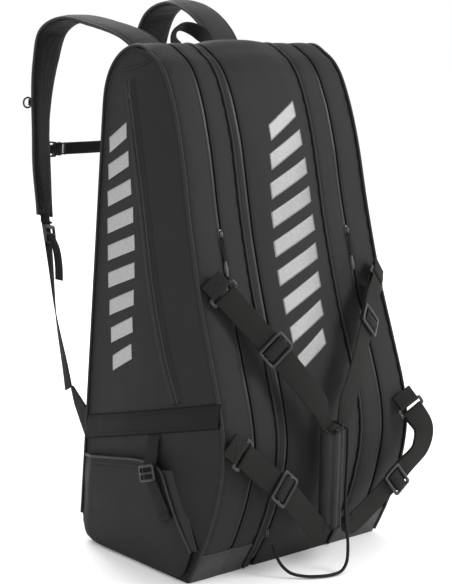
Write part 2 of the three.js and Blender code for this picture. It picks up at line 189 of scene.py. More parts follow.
def cloth(name, outer, thickness, material, uv, outward=None):
    """A closed sheet whose outer face is a grid of points. outward is a direction that the face looks."""
    rows, cols = outer.shape[:2]
    normals = grid_normals(outer)
    if outward is not None and (normals.mean((0, 1)) @ np.asarray(outward, float)) < 0:
        normals = -normals
    inner = outer - normals * thickness
    verts = np.vstack([outer.reshape(-1, 3), inner.reshape(-1, 3)])
    count = rows * cols
    index = np.arange(count).reshape(rows, cols)
    rim = np.concatenate([index[0, :], index[1:, -1], index[-1, -2::-1], index[-2:0:-1, 0]])
    after = np.roll(rim, -1)
    sides = np.stack([rim, after, after + count, rim + count], -1)
    faces = [*grid_faces(rows, cols), *grid_faces(rows, cols, count)[:, ::-1], *sides]
    flat_uv = uv.reshape(-1, 2) * MM
    return make_mesh(name, verts, faces, material, np.vstack([flat_uv, flat_uv]), closed=True)


def swept(name, centres, sides, ups, section, material, scale=None, wrap=False):
    """A closed section swept along a route; section holds (side, up) pairs, scale a pair for each step."""
    section = np.asarray(section, float)
    steps, count = len(centres), len(section)
    scale = np.ones((steps, 2)) if scale is None else np.asarray(scale)
    side_part = section[None, :, 0, None] * scale[:, None, 0, None] * sides[:, None, :]
    up_part = section[None, :, 1, None] * scale[:, None, 1, None] * ups[:, None, :]
    verts = (centres[:, None, :] + side_part + up_part).reshape(-1, 3)
    faces = list(grid_faces(steps, count, wrap=True))
    if wrap:
        last = (steps - 1) * count
        faces += [[last + j, last + (j + 1) % count, (j + 1) % count, j] for j in range(count)]
    else:
        faces += [list(range(count))[::-1], list(range((steps - 1) * count, steps * count))]
    lengths = np.concatenate([[0], np.cumsum(np.linalg.norm(np.diff(centres, axis=0), axis=1))])
    uv = np.stack([np.tile(section[:, 0], steps), np.repeat(lengths, count)], -1) * MM
    return make_mesh(name, verts, faces, material, uv, closed=True)


def squared(dirs, ahead):
    """Unit directions turned square to the way ahead."""
    return unit(dirs - (dirs * ahead).sum(-1, keepdims=True) * ahead)


def ribbon(name, line, sides, section, material, scale=None):
    """A swept strip or bar whose thickness stands square to its line and its width."""
    return swept(name, line, sides, np.cross(tangents(line), sides), section, material, scale)


def route_frame(route, widths, steps):
    """Centres, width directions and face directions along a strap."""
    centres = spline(route, steps)
    ahead = tangents(centres)
    wanted = curve_points(widths, np.linspace(0, 1, steps))
    sides = squared(wanted, ahead)
    return centres, ahead, sides, unit(np.cross(ahead, sides))


def flat_section(width, thick, corner=4):
    """A rounded rectangle, slightly thicker at its woven edges."""
    radius = thick / 2
    turn = np.linspace(-math.pi / 2, math.pi / 2, corner + 1)
    right = [(width / 2 - radius + radius * math.cos(a), radius * 1.12 * math.sin(a)) for a in turn]
    left = [(-x, -y) for x, y in right]
    return [(0, -radius), *right, (0, radius), *left]


def round_section(radius_side, radius_up, count=12):
    turn = np.linspace(0, 2 * math.pi, count, endpoint=False)
    return np.stack([radius_side * np.cos(turn), radius_up * np.sin(turn)], -1)


def tube(name, points, radius, material, sides=10, ends=None):
    """A round cord along points; ends narrows it at both tips."""
    ahead = tangents(points)
    guide = np.array([0.31, 0.52, 0.79])
    across = unit(np.cross(ahead, guide))
    scale = None
    if ends:
        t = np.linspace(0, 1, len(points))
        width = np.minimum(1, np.minimum(t, 1 - t) / ends + 0.35)
        scale = np.stack([width, width], -1)
    section = round_section(radius, radius, sides)
    return swept(name, points, across, np.cross(ahead, across), section, material, scale)


def join(name, pieces):
    """One object from several, with their materials kept."""
    work = bmesh.new()
    owners = []
    for piece in pieces:
        index = np.zeros(len(piece.data.polygons), int)
        piece.data.polygons.foreach_get("material_index", index)
        names = [m.name for m in piece.data.materials]
        owners += [names[i] for i in index]
        work.from_mesh(piece.data)
    first = pieces[0].data
    work.to_mesh(first)
    work.free()
    unique = list(dict.fromkeys(owners))
    first.materials.clear()
    for material_name in unique:
        first.materials.append(bpy.data.materials[material_name])
    first.polygons.foreach_set("material_index", [unique.index(owner) for owner in owners])
    for piece in pieces[1:]:
        bpy.data.objects.remove(piece)
    pieces[0].name = name
    return pieces[0]


def stitches(name, points, normals, pitch=3.4, length=2.3, radius=0.32, lift=0.15):
    """A run of thread stitches lying on a surface."""
    points = np.asarray(points, float)
    total = np.linalg.norm(np.diff(points, axis=0), axis=1).sum()
    count = max(int(total / pitch), 2)
    joined = resample(np.hstack([points, np.broadcast_to(normals, points.shape)]), count)
    centres, ups = joined[:, :3], unit(joined[:, 3:])
    ahead = tangents(centres)
    across = unit(np.cross(ahead, ups))
    middle = [(x, side, up) for x in (-0.3, 0.3) for side, up in ((1, 0), (0, 1), (-1, 0))]
    ring = np.array([(-0.5, 0, 0), *middle, (0.5, 0, 0)])
    verts = (centres[:, None] + ups[:, None] * lift + ahead[:, None] * ring[None, :, :1] * length
             + across[:, None] * ring[None, :, 1:2] * radius + ups[:, None] * ring[None, :, 2:] * radius)
    faces = [(0, 2, 1), (0, 3, 2), (0, 1, 3), (1, 2, 5, 4), (2, 3, 6, 5), (3, 1, 4, 6)]
    faces += [(7, 4, 5), (7, 5, 6), (7, 6, 4)]
    all_faces = [[i * 8 + k for k in face] for i in range(count) for face in faces]
    return make_mesh(name, verts.reshape(-1, 3), all_faces, THREAD, closed=True)


def plate(name, outer, holes, thickness, edge, material, place):
    """A moulded plate with rounded edges: outlines in millimetres, set down by a 4 by 4 matrix."""
    curve = bpy.data.curves.new(name, "CURVE")
    curve.dimensions = "2D"
    curve.fill_mode = "BOTH"
    curve.extrude = thickness / 2 - edge
    curve.bevel_depth = edge
    curve.bevel_resolution = 2
    curve.offset = -edge
    for outline in [outer, *holes]:
        line = curve.splines.new("POLY")
        line.points.add(len(outline) - 1)
        for point, (x, y) in zip(line.points, outline):
            point.co = (x, y, 0, 1)
        line.use_cyclic_u = True
    holder = bpy.data.objects.new(name, curve)
    mesh = bpy.data.meshes.new_from_object(holder)
    bpy.data.objects.remove(holder)
    mesh.transform(place)
    mesh.transform(Matrix.Scale(MM, 4))
    work = bmesh.new()
    work.from_mesh(mesh)
    bmesh.ops.remove_doubles(work, verts=work.verts, dist=1e-6)
    bmesh.ops.recalc_face_normals(work, faces=work.faces)
    work.to_mesh(mesh)
    work.free()
    mesh.shade_smooth()
    mesh.set_sharp_from_angle(angle=math.radians(40))
    mesh.materials.clear()
    mesh.materials.append(material)
    obj = bpy.data.objects.new(name, mesh)
    bpy.context.scene.collection.objects.link(obj)
    return obj


def rounded_rectangle(length, width, radius, centre=(0, 0), steps=5):
    points = []
    for k, (sx, sy) in enumerate([(1, 1), (-1, 1), (-1, -1), (1, -1)]):
        for a in np.linspace(0, math.pi / 2, steps):
            angle = a + k * math.pi / 2
            points.append((centre[0] + sx * (length / 2 - radius) + radius * math.cos(angle),
                           centre[1] + sy * (width / 2 - radius) + radius * math.sin(angle)))
    return points


def placed(point, ahead, side, up, lift=0.0):
    lifted = [point[i] + up[i] * lift for i in range(3)]
    rows = [[*map(float, row)] for row in zip(ahead, side, up, lifted)]
    return Matrix(rows + [[0, 0, 0, 1]])


# ---------------------------------------------------------------- materials
def new_material(name, roughness, specular=0.3, metallic=0.0, sheen=0.0):
    material = bpy.data.materials.new(name)
    material.use_nodes = True
    shader = next(n for n in material.node_tree.nodes if n.type == "BSDF_PRINCIPLED")
    shader.inputs["Roughness"].default_value = roughness
    shader.inputs["Specular IOR Level"].default_value = specular
    shader.inputs["Metallic"].default_value = metallic
    shader.inputs["Sheen Weight"].default_value = sheen
    shader.inputs["Sheen Roughness"].default_value = 0.45
    return material, material.node_tree, shader


def add_node(tree, kind, inputs, **settings):
    """A shader node, with values or other nodes' outputs on its sockets; returns its first output."""
    node = tree.nodes.new("ShaderNode" + kind)
    for key, value in settings.items():
        setattr(node, key, value)
    for key, value in inputs.items():
        if isinstance(value, bpy.types.NodeSocket):
            tree.links.new(value, node.inputs[key])
        else:
            node.inputs[key].default_value = value
    return node.outputs[0]


def maths(tree, operation, first, second=0.0, third=0.0):
    return add_node(tree, "Math", {0: first, 1: second, 2: third}, operation=operation)


def colour_between(tree, share, dark, light):
    return add_node(tree, "MixRGB", {0: share, 1: (*dark, 1), 2: (*light, 1)})


def object_place(tree):
    return tree.nodes.new("ShaderNodeTexCoord").outputs["Object"]


def cloth_place(tree):
    """The two directions of a piece's cloth, in metres."""
    node = tree.nodes.new("ShaderNodeSeparateXYZ")
    tree.links.new(tree.nodes.new("ShaderNodeTexCoord").outputs["UV"], node.inputs[0])
    return node.outputs[0], node.outputs[1]


def wave(tree, value, pitch):
    return maths(tree, "SINE", maths(tree, "MULTIPLY", value, 2 * math.pi / (pitch * MM)))


def finish_cloth(tree, shader, colour, pattern, vary, depth, mottle):
    """Colour and relief from a thread pattern of -1 to 1, loose fibres and broad unevenness."""
    place = object_place(tree)
    broad = add_node(tree, "TexNoise", {"Vector": place, "Scale": mottle, "Detail": 5.0, "Roughness": 0.6})
    fibres = add_node(tree, "TexNoise", {"Vector": place, "Scale": 420.0, "Detail": 3.0})
    tone = maths(tree, "MULTIPLY_ADD", broad, 0.55, maths(tree, "MULTIPLY", fibres, 0.45))
    tone = maths(tree, "MULTIPLY_ADD", pattern, 0.14, tone)
    dark = [c * (1 - vary) for c in colour]
    light = [c * (1 + vary) for c in colour]
    tree.links.new(colour_between(tree, tone, dark, light), shader.inputs["Base Color"])
    height = maths(tree, "MULTIPLY_ADD", pattern, 0.5, fibres)
    relief = add_node(tree, "Bump", {"Strength": depth, "Distance": 0.0005, "Height": height})
    tree.links.new(relief, shader.inputs["Normal"])


def woven(name, colour, roughness, pitch=1.1, vary=0.3, depth=0.35, mottle=16.0, twill=False, **finish):
    material, tree, shader = new_material(name, roughness, **finish)
    across, along = cloth_place(tree)
    if twill:
        pattern = wave(tree, maths(tree, "ADD", across, along), pitch)
    else:
        pattern = maths(tree, "MULTIPLY", wave(tree, across, pitch), wave(tree, along, pitch))
    finish_cloth(tree, shader, colour, pattern, vary, depth, mottle)
    return material


def ribbed(name, colour, roughness, rib=2.1, zigzag=4.5, vary=0.3, depth=0.8, **finish):
    """Narrow-loom webbing: chevron ribs that run across it."""
    material, tree, shader = new_material(name, roughness, **finish)
    across, along = cloth_place(tree)
    slant = maths(tree, "PINGPONG", across, zigzag * MM)
    pattern = wave(tree, maths(tree, "MULTIPLY_ADD", slant, 0.6, along), rib)
    finish_cloth(tree, shader, colour, pattern, vary, depth, 24.0)
    return material


def spacer_mesh(name, colour):
    """Knitted spacer fabric with rows of small open cells; each cell is painted dark as painted shade inside
    its hole.
    """
    material, tree, shader = new_material(name, 0.9, specular=0.15, sheen=0.1)
    cells = add_node(tree, "TexVoronoi", {
        "Vector": object_place(tree), "Scale": 330.0, "Randomness": 0.12,
    })
    hole_depth_and_shade = add_node(tree, "MapRange", {"Value": cells, "From Min": 0.18, "From Max": 0.42})
    # painted shade: the open cells' colour runs down to a quarter of the fabric's, as shade in the holes; the
    # same mask also gives the holes their relief
    tree.links.new(colour_between(tree, hole_depth_and_shade, [c * 0.25 for c in colour], [c * 1.4 for c in colour]),
                   shader.inputs["Base Color"])
    relief = add_node(tree, "Bump", {"Strength": 0.9, "Distance": 0.0012, "Height": hole_depth_and_shade})
    tree.links.new(relief, shader.inputs["Normal"])
    return material


def moulded_plastic(name, colour, roughness):
    material, tree, shader = new_material(name, roughness, specular=0.5)
    place = object_place(tree)
    grain = add_node(tree, "TexNoise", {"Vector": place, "Scale": 1100.0, "Detail": 2.0})
    worn = add_node(tree, "TexNoise", {"Vector": place, "Scale": 60.0, "Detail": 4.0})
    tree.links.new(colour_between(tree, worn, [c * 0.75 for c in colour], [c * 1.35 for c in colour]),
                   shader.inputs["Base Color"])
    rough = add_node(tree, "MapRange", {"Value": worn, "To Min": roughness - 0.08,
                                        "To Max": roughness + 0.12})
    tree.links.new(rough, shader.inputs["Roughness"])
    relief = add_node(tree, "Bump", {"Strength": 0.25, "Distance": 0.0002, "Height": grain})
    tree.links.new(relief, shader.inputs["Normal"])
    return material


def silver_print(name, dark, light):
    """Screen-printed silver film that lets a little of the weave show."""
    material, tree, shader = new_material(name, 0.5, specular=0.4, metallic=0.5)
    across, along = cloth_place(tree)
    weave = maths(tree, "MULTIPLY", wave(tree, across, 1.1), wave(tree, along, 1.1))
    grain = add_node(tree, "TexNoise", {"Vector": object_place(tree), "Scale": 300.0, "Detail": 4.0})
    tone = maths(tree, "MULTIPLY_ADD", weave, 0.1, grain)
    tree.links.new(colour_between(tree, tone, (dark,) * 3, (light,) * 3), shader.inputs["Base Color"])
    relief = add_node(tree, "Bump", {"Strength": 0.25, "Distance": 0.0003, "Height": tone})
    tree.links.new(relief, shader.inputs["Normal"])
    return material


POLYESTER = woven("polyester", (0.0098, 0.0090, 0.0100), 0.62, specular=0.2)
STRAP_FACE = woven("strap_polyester", (0.0150, 0.0146, 0.0150), 0.6, mottle=30.0, specular=0.25)
COATED = woven("coated_polyester", (0.0215, 0.0212, 0.0235), 0.5, pitch=1.6, twill=True, vary=0.22,
               specular=0.3)
PIPING = woven("piping", (0.0062, 0.0060, 0.0066), 0.5, pitch=0.9, twill=True, specular=0.3)
FLAP = woven("flap_polyester", (0.0052, 0.0048, 0.0052), 0.6, specular=0.14)
LINING = woven("lining", (0.003, 0.003, 0.0034), 0.85, pitch=0.7, specular=0.1)
WEBBING = ribbed("webbing", (0.0108, 0.0110, 0.0100), 0.78, specular=0.16)
TAPE = ribbed("zip_tape", (0.005, 0.005, 0.0055), 0.85, rib=1.0, zigzag=2.0, specular=0.15)
SPACER = spacer_mesh("spacer_mesh", (0.0075, 0.0075, 0.008))
PLASTIC = moulded_plastic("moulded_plastic", (0.0085, 0.0085, 0.0088), 0.34)
COIL = moulded_plastic("zip_coil", (0.0075, 0.0075, 0.0085), 0.34)
CORD = ribbed("braided_cord", (0.0070, 0.0070, 0.0074), 0.7, rib=1.6, zigzag=1.6, depth=1.0, specular=0.25)
THREAD = ribbed("thread", (0.006, 0.006, 0.0066), 0.6, rib=0.7, zigzag=0.4, specular=0.25)
SILVER = silver_print("silver_print", 0.15, 0.27)
# painted highlight: the side's print is the same silver print made lighter (0.24 to 0.40 against 0.15 to
# 0.27)
PAINTED_HIGHLIGHT_SIDE_SILVER = silver_print("silver_print_side_painted_highlight", 0.24, 0.40)


# ---------------------------------------------------------------- camera, lights and floor
CAMERA_TURN, CAMERA_RISE, CAMERA_ROLL = 43.7, 11.3, 2.8     # degrees
CAMERA_REACH = 2695.7
CAMERA_AIM_Z, CAMERA_AIM_SIDE = 400.9, -39.9
LENS = 106.3


def make_camera():
    turn, rise, roll = (math.radians(a) for a in (CAMERA_TURN, CAMERA_RISE, CAMERA_ROLL))
    back = Vector((-math.sin(turn) * math.cos(rise), -math.cos(turn) * math.cos(rise), math.sin(rise)))
    right = (-back).cross(Vector((0, 0, 1))).normalized()
    up = back.cross(right)
    place = Vector((0, 0, CAMERA_AIM_Z)) + right * CAMERA_AIM_SIDE + back * CAMERA_REACH
    tilted_right = right * math.cos(roll) + up * math.sin(roll)
    tilted_up = up * math.cos(roll) - right * math.sin(roll)
    data = bpy.data.cameras.new("camera")
    data.lens = LENS
    data.clip_end = 50
    holder = bpy.data.objects.new("camera", data)
    bpy.context.scene.collection.objects.link(holder)
    holder.matrix_world = Matrix([[tilted_right[i], tilted_up[i], back[i], place[i] * MM] for i in range(3)]
                                 + [[0, 0, 0, 1]])
    bpy.context.scene.camera = holder


def area_light(name, place, aim, size, power):
    data = bpy.data.lights.new(name, "AREA")
    data.shape = "DISK"
    data.size = size
    data.energy = power
    holder = bpy.data.objects.new(name, data)
    bpy.context.scene.collection.objects.link(holder)
    holder.location = place
    holder.rotation_euler = (Vector(aim) - Vector(place)).to_track_quat("-Z", "Y").to_euler()


def make_studio():
    world = bpy.data.worlds.new("studio")
    world.use_nodes = True
    world.node_tree.nodes["Background"].inputs[0].default_value = (1, 1, 1, 1)
    world.node_tree.nodes["Background"].inputs[1].default_value = 1.0
    bpy.context.scene.world = world
    bpy.context.scene.view_settings.view_transform = "Standard"
    area_light("key", (1.9, -2.3, 2.1), (0, 0, 0.4), 1.4, 80)
    area_light("side", (-2.9, -0.6, 1.7), (0, 0, 0.4), 1.6, 12)
    area_light("rim", (0.6, 2.4, 2.6), (0, 0, 0.6), 1.2, 60)
    mesh = bpy.data.meshes.new("floor")
    mesh.from_pydata([(-9, -9, 0), (9, -9, 0), (9, 9, 0), (-9, 9, 0)], [], [(0, 1, 2, 3)])
    material, tree, shader = new_material("floor", 0.9, specular=0.1)
    shader.inputs["Emission Color"].default_value = (1, 1, 1, 1)
    shader.inputs["Emission Strength"].default_value = 0.06
    shade = add_node(tree, "TexNoise", {"Vector": object_place(tree), "Scale": 3.0})
    colour = colour_between(tree, shade, (0.93, 0.93, 0.93), (0.97, 0.97, 0.97))
    tree.links.new(colour, shader.inputs["Base Color"])
    mesh.materials.append(material)
    floor = bpy.data.objects.new("floor", mesh)
    bpy.context.scene.collection.objects.link(floor)
    floor.location.z = -0.0005


make_camera()
make_studio()


# ---------------------------------------------------------------- the shell's surfaces
def side_outline():
    """The side panel's outline in Y and Z, from the base's front edge over the crest and down the back."""
    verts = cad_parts["side_panel_left"].data.vertices
    corners = {(round(v.co.y / MM, 2), round(v.co.z / MM, 2)) for v in verts}
    middle_y, middle_z, start = 20, 330, math.radians(-110)

    def turn(corner):
        return (start - math.atan2(corner[1] - middle_z, corner[0] - middle_y)) % math.tau

    return np.array(sorted(corners, key=turn))


OUTLINE = side_outline()
HEAD_INDEX = int(np.argmin(np.hypot(OUTLINE[:, 0] - BACK_Y, OUTLINE[:, 1] - BACK_HEAD_Z)))
SPINE_ROWS = 420
SPINE = smoothed(spline(OUTLINE[:HEAD_INDEX + 1], SPINE_ROWS), 6)
SPINE_AHEAD = tangents(SPINE)
SPINE_OUT = np.stack([-SPINE_AHEAD[:, 1], SPINE_AHEAD[:, 0]], -1)
ARC = np.concatenate([[0], np.cumsum(np.linalg.norm(np.diff(SPINE, axis=0), axis=1))])
LENGTH = ARC[-1]
CREST_ROW = int(np.argmax(SPINE[:, 1]))
OUTLINE_LINE = resample(np.vstack([OUTLINE, OUTLINE[:1]]), 420)

PUFF_SHARE = 0.042           # how far a strip swells between its seams, as a share of its width
SEAMS = (-HALF, -DIVIDER_X, DIVIDER_X, HALF)
SIDE_PUFF = 12.0
LOBES = sorted([*SEAMS, *ZIP_X.values()])
WALL = 2.6


def arc_at(z):
    """Arc length on the front of the spine at a height."""
    return np.interp(z, SPINE[:CREST_ROW, 1], ARC[:CREST_ROW])


def swell(x, arc):
    """How far the fabric stands off the frame's spine at base X and arc length."""
    lift = np.zeros(np.broadcast(x, arc).shape)
    for low, high in zip(LOBES[:-1], LOBES[1:]):
        share = np.abs(x - (low + high) / 2) / ((high - low) / 2)
        lift += np.where(share < 1, PUFF_SHARE * (high - low) * (1 - np.clip(share, 0, 1) ** 2.6), 0)
    lift += 2.4 * (1 - (x / HALF) ** 8)
    seam_distance = np.min([np.abs(x - seam) for seam in SEAMS], axis=0)
    lift -= 1.6 * bump(seam_distance, 5)
    lift += 0.5 * np.sin(arc / 4.1 + 1.3 * np.sin(arc / 37)) * bump(seam_distance - 6, 6)
    fade = smoothstep(0, 90, arc) * (1 - 0.6 * smoothstep(LENGTH - 80, LENGTH, arc))
    spot = np.stack(np.broadcast_arrays(x, arc * 0.6, 0.0), -1)
    creases = 1.5 * cloth_noise(spot, 85, 1) + 0.55 * cloth_noise(spot, 26, 2)
    return (lift + creases) * (0.15 + 0.85 * fade)


def on_spine(x, arc, lift=0.0, relief=True):
    """Points on the spine at base X and arc length, standing lift off the fabric."""
    x, arc = np.broadcast_arrays(np.asarray(x, float), np.asarray(arc, float))
    total = lift + (swell(x, arc) if relief else 0)
    y = np.interp(arc, ARC, SPINE[:, 0]) + np.interp(arc, ARC, SPINE_OUT[:, 0]) * total
    z = np.interp(arc, ARC, SPINE[:, 1]) + np.interp(arc, ARC, SPINE_OUT[:, 1]) * total
    return np.stack([x * taper(z), y, np.maximum(z, 0)], -1)


def spine_up(arc):
    out_y, out_z = (np.interp(arc, ARC, SPINE_OUT[:, k]) for k in (0, 1))
    out = np.stack([np.zeros_like(arc), out_y, out_z], -1)
    return unit(out)


def outline_distance(y, z):
    y, z = np.broadcast_arrays(np.asarray(y, float), np.asarray(z, float))
    spots = np.stack([y, z], -1).reshape(-1, 1, 2)
    nearest = [np.linalg.norm(part - OUTLINE_LINE[None], axis=-1).min(1)
               for part in np.array_split(spots, 40)]
    return np.concatenate(nearest).reshape(y.shape)


def on_side(y, z, lift=0.0, side=-1):
    """Points on a side panel, standing lift off its fabric."""
    y, z, lift = np.broadcast_arrays(np.asarray(y, float), np.asarray(z, float), np.asarray(lift, float))
    distance = outline_distance(y, z)
    spot = np.stack([y, z * 0.7, np.full(y.shape, side * 40.0)], -1)
    creases = 2.2 * cloth_noise(spot, 110, 3) + 0.7 * cloth_noise(spot, 32, 4)
    puckers = 0.5 * np.sin((y + z) / 3.6) * bump(distance - 7, 6)
    inside = smoothstep(2, 40, distance)
    puff = SIDE_PUFF * (1 - np.exp(-(distance / 62) ** 1.6))
    out = HALF * taper(z) + puff + creases * inside + puckers + lift
    return np.stack([side * out, y, z], -1)


# ---------------------------------------------------------------- shell pieces
def keep(piece, body, *nodes, slot=None):
    """Rides a finished piece on its body, and hides the frame nodes that it stands for."""
    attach(piece, body)
    if nodes:
        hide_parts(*nodes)
    return piece


ZIP_SLOT = 3.6              # half the gap between the folded edges beside a zip
HEM_DROP = 3.2


def folded_columns(low, high, fold_low, fold_high, pitch=3.4):
    """Base X of a strip's columns and how far each one is turned in at a folded edge."""
    count = max(int((high - low) / pitch), 4)
    x = np.linspace(low, high, count)
    drop = np.zeros(count)
    if fold_low:
        x = np.concatenate([[low + 0.9, low - 0.15, low + 0.05, low + 0.8], x[1:]])
        drop = np.concatenate([[HEM_DROP, 1.7, 0.55, 0.1], drop[1:]])
    if fold_high:
        x = np.concatenate([x[:-1], [high - 0.8, high - 0.05, high + 0.15, high - 0.9]])
        drop = np.concatenate([drop[:-1], [0.1, 0.55, 1.7, HEM_DROP]])
    return x, drop


def spine_strip(name, low, high, fold_low, fold_high, nodes, material=None):
    x, drop = folded_columns(low, high, fold_low, fold_high)
    grid = on_spine(x[None, :], ARC[:, None], -drop[None, :])
    uv = np.stack(np.broadcast_arrays(x[None, :], ARC[:, None]), -1)
    piece = cloth(name, grid, WALL, material or POLYESTER, uv, (0, -1, 0.6))
    return keep(piece, "bag", *nodes, slot="polyester")


EDGE = HALF - 1.2
spine_strip("cloth_left_outer", -EDGE, ZIP_X["left"] - ZIP_SLOT, False, True, ["gusset_left_outer"])
spine_strip("cloth_left_inner", ZIP_X["left"] + ZIP_SLOT, -DIVIDER_X - 0.8, True, False,
            ["gusset_left_inner"])
spine_strip("cloth_zip_flap", -DIVIDER_X + 0.8, ZIP_X["centre"] - ZIP_SLOT, False, True, [])
spine_strip("cloth_centre", ZIP_X["centre"] + ZIP_SLOT, DIVIDER_X - 0.8, True, False, ["centre_panel"])
spine_strip("cloth_right_inner", DIVIDER_X + 0.8, ZIP_X["right"] - ZIP_SLOT, False, True,
            ["gusset_right_inner"])
spine_strip("cloth_right_outer", ZIP_X["right"] + ZIP_SLOT, EDGE, True, False, ["gusset_right_outer"])


def stitch_line(name, x, start, end, lift=0.0):
    arc = np.linspace(start, end, 240)
    points = on_spine(np.full_like(arc, x), arc, lift)
    return stitches(name, points, spine_up(arc))


def spine_zip(name, x):
    """Tape, coil and the stitching of the folds beside it."""
    start, end = arc_at(14), LENGTH - 6
    columns = np.linspace(x - 11, x + 11, 9)
    rows = np.linspace(start, end, 260)
    tape_lift = -HEM_DROP - 0.2 + np.zeros((len(rows), len(columns)))
    tape_grid = on_spine(np.full((1, 9), x), rows[:, None], tape_lift)
    tape_grid[..., 0] = columns[None, :] * taper(tape_grid[..., 2])
    uv = np.stack(np.broadcast_arrays(columns[None, :], rows[:, None]), -1)
    tape = cloth(f"tape_{name}", tape_grid, 1.0, TAPE, uv, (0, -1, 0.6))
    pitch = 0.85
    coil_arc = np.arange(start, end, pitch)
    centres = on_spine(np.full_like(coil_arc, x), coil_arc, -HEM_DROP + 0.9)
    ahead = tangents(centres)
    across = np.tile([1.0, 0, 0], (len(centres), 1))
    beat = np.where(np.arange(len(centres)) % 2, 1.0, 0.66)
    section = [(-2.5, 0), (-1.7, 0.95), (-0.35, 1.0), (0, 0.35), (0.35, 1.0), (1.7, 0.95), (2.5, 0),
               (0, -0.8)]
    coil = swept(f"coil_{name}", centres, across, np.cross(across, ahead), section, COIL,
                 np.stack([0.85 + 0.15 * beat, beat], -1))
    seams = [stitch_line(f"seam_{name}_{k}", x + k * (ZIP_SLOT + 4.2), start, end) for k in (-1, 1)]
    piece = join(f"zipper_{name}", [tape, coil, *seams])
    return keep(piece, "bag", f"zip_{name}", slot="lining")


for zip_name, zip_x in ZIP_X.items():
    spine_zip(zip_name, zip_x)


# ---------------------------------------------------------------- piping
def piping_run(name, centres, ups):
    """A corded edge: a round bead, with a run of stitches just inside it along the seam."""
    bead = tube(name, centres, 2.5, PIPING, 10)
    thread = stitches(f"{name}_thread", centres - ups * 1.9, ups, pitch=4.0, lift=-0.2)
    return join(name, [bead, thread])


BACK_LINE = np.stack([np.full(60, BACK_Y), np.linspace(BACK_HEAD_Z - 3, BACK_FOOT_Z, 60)], -1)
EDGE_LINE = np.vstack([SPINE[3:-1] + SPINE_OUT[3:-1] * 1.6, BACK_LINE + [1.6, 0]])
for side, side_name in ((-1, "left"), (1, "right")):
    edge = resample(EDGE_LINE, 420)
    edge_ups = tangents(edge)
    edge_x = side * (HALF + 0.4) * taper(edge[:, 1])
    edge_points = np.stack([edge_x, edge[:, 0], np.maximum(edge[:, 1], 2.6)], -1)
    outward = np.stack([np.zeros(420), -edge_ups[:, 1], edge_ups[:, 0]], -1)
    keep(piping_run(f"edge_piping_{side_name}", edge_points, outward), "bag", f"piping_side_{side_name}",
         slot="coated")
    seam_arc = np.linspace(arc_at(3), LENGTH - 2, 380)
    seam_points = on_spine(np.full_like(seam_arc, side * DIVIDER_X), seam_arc, 2.2)
    keep(piping_run(f"seam_piping_{side_name}", seam_points, spine_up(seam_arc)), "bag",
         f"piping_divider_{side_name}", slot="coated")
    for offset_x in (-5.5, 5.5):
        keep(stitch_line(f"seam_stitch_{side_name}_{'in' if offset_x * side < 0 else 'out'}",
                         side * DIVIDER_X + offset_x, arc_at(8), LENGTH - 6), "bag")


# ---------------------------------------------------------------- side panels
def front_and_back():
    """The two edges of a side panel, from the base up to either side of the crest."""
    crest = int(np.argmax(OUTLINE_LINE[:, 1]))
    base_back = int(np.argmin(np.hypot(OUTLINE_LINE[:, 0] - 108, OUTLINE_LINE[:, 1])))
    front = OUTLINE_LINE[:crest - 2]
    back = OUTLINE_LINE[crest + 3:base_back + 1][::-1]
    return front, back


SIDE_ROWS, SIDE_COLS = 190, 64
front_edge, back_edge = (resample(edge, SIDE_ROWS) for edge in front_and_back())
for side, side_name in ((-1, "left"), (1, "right")):
    share = np.linspace(0, 1, SIDE_COLS)[None, :, None]
    plan = front_edge[:, None] * (1 - share) + back_edge[:, None] * share
    side_grid = on_side(plan[..., 0], plan[..., 1], 0.0, side)
    panel = cloth(f"cloth_side_{side_name}", side_grid, WALL, POLYESTER, plan.copy(), (side, 0, 0))
    keep(panel, "bag", f"side_panel_{side_name}", slot="polyester")
    inset = resample(np.vstack([front_edge, back_edge[::-1]]), 500)
    turn = tangents(inset)
    inset = inset + np.stack([turn[:, 1], -turn[:, 0]], -1) * 7
    hem = on_side(inset[:, 0], inset[:, 1], 0.0, side)
    keep(stitches(f"side_stitch_{side_name}", hem, np.tile([float(side), 0, 0.02], (500, 1))), "bag")

# ---------------------------------------------------------------- boots and base
BOOT_TOP = node_box("boot_left")[1][2]


def boot(side_name, low, high):
    """A coated guard with a turned hem along its top."""
    columns = np.linspace(low, high, 36)
    rows = np.linspace(0, arc_at(BOOT_TOP), 22)
    drop = np.where(rows > rows[-1] - 1.5, 0.9, 0.0)
    grid = on_spine(columns[None, :], rows[:, None], 1.5 - drop[:, None])
    uv = np.stack(np.broadcast_arrays(columns[None, :], rows[:, None]), -1)
    body = cloth(f"boot_cloth_{side_name}", grid, 1.4, COATED, uv, (0, -1, 0))
    runs = []
    for k, inset in enumerate((3.5, 8.5)):
        points = on_spine(columns, np.full(36, rows[-1] - inset), 1.6)
        runs.append(stitches(f"boot_run_{side_name}_{k}", points, spine_up(np.full(36, rows[-1]))))
    keep(join(f"boot_guard_{side_name}", [body, *runs]), "bag", f"boot_{side_name}", slot="coated")


boot("left", -EDGE, -DIVIDER_X - 4)
boot("right", DIVIDER_X + 4, EDGE)


def base_line(count):
    """The base's outer face in Y and Z, from the front edge back and up to the back panel."""
    start_y, corner_y = node_box("base_panel")[0][1] - 4, BACK_Y
    bend_y = start_y + (corner_y - start_y) * 0.835
    t = np.linspace(0, 1, 14)
    bend_line = bend_y * (1 - t) ** 2 + corner_y * 2 * t * (1 - t) + corner_y * t ** 2
    bend = np.stack([bend_line, BACK_FOOT_Z * t ** 2], -1)
    return resample(np.vstack([[[start_y, 0]], bend]), count)


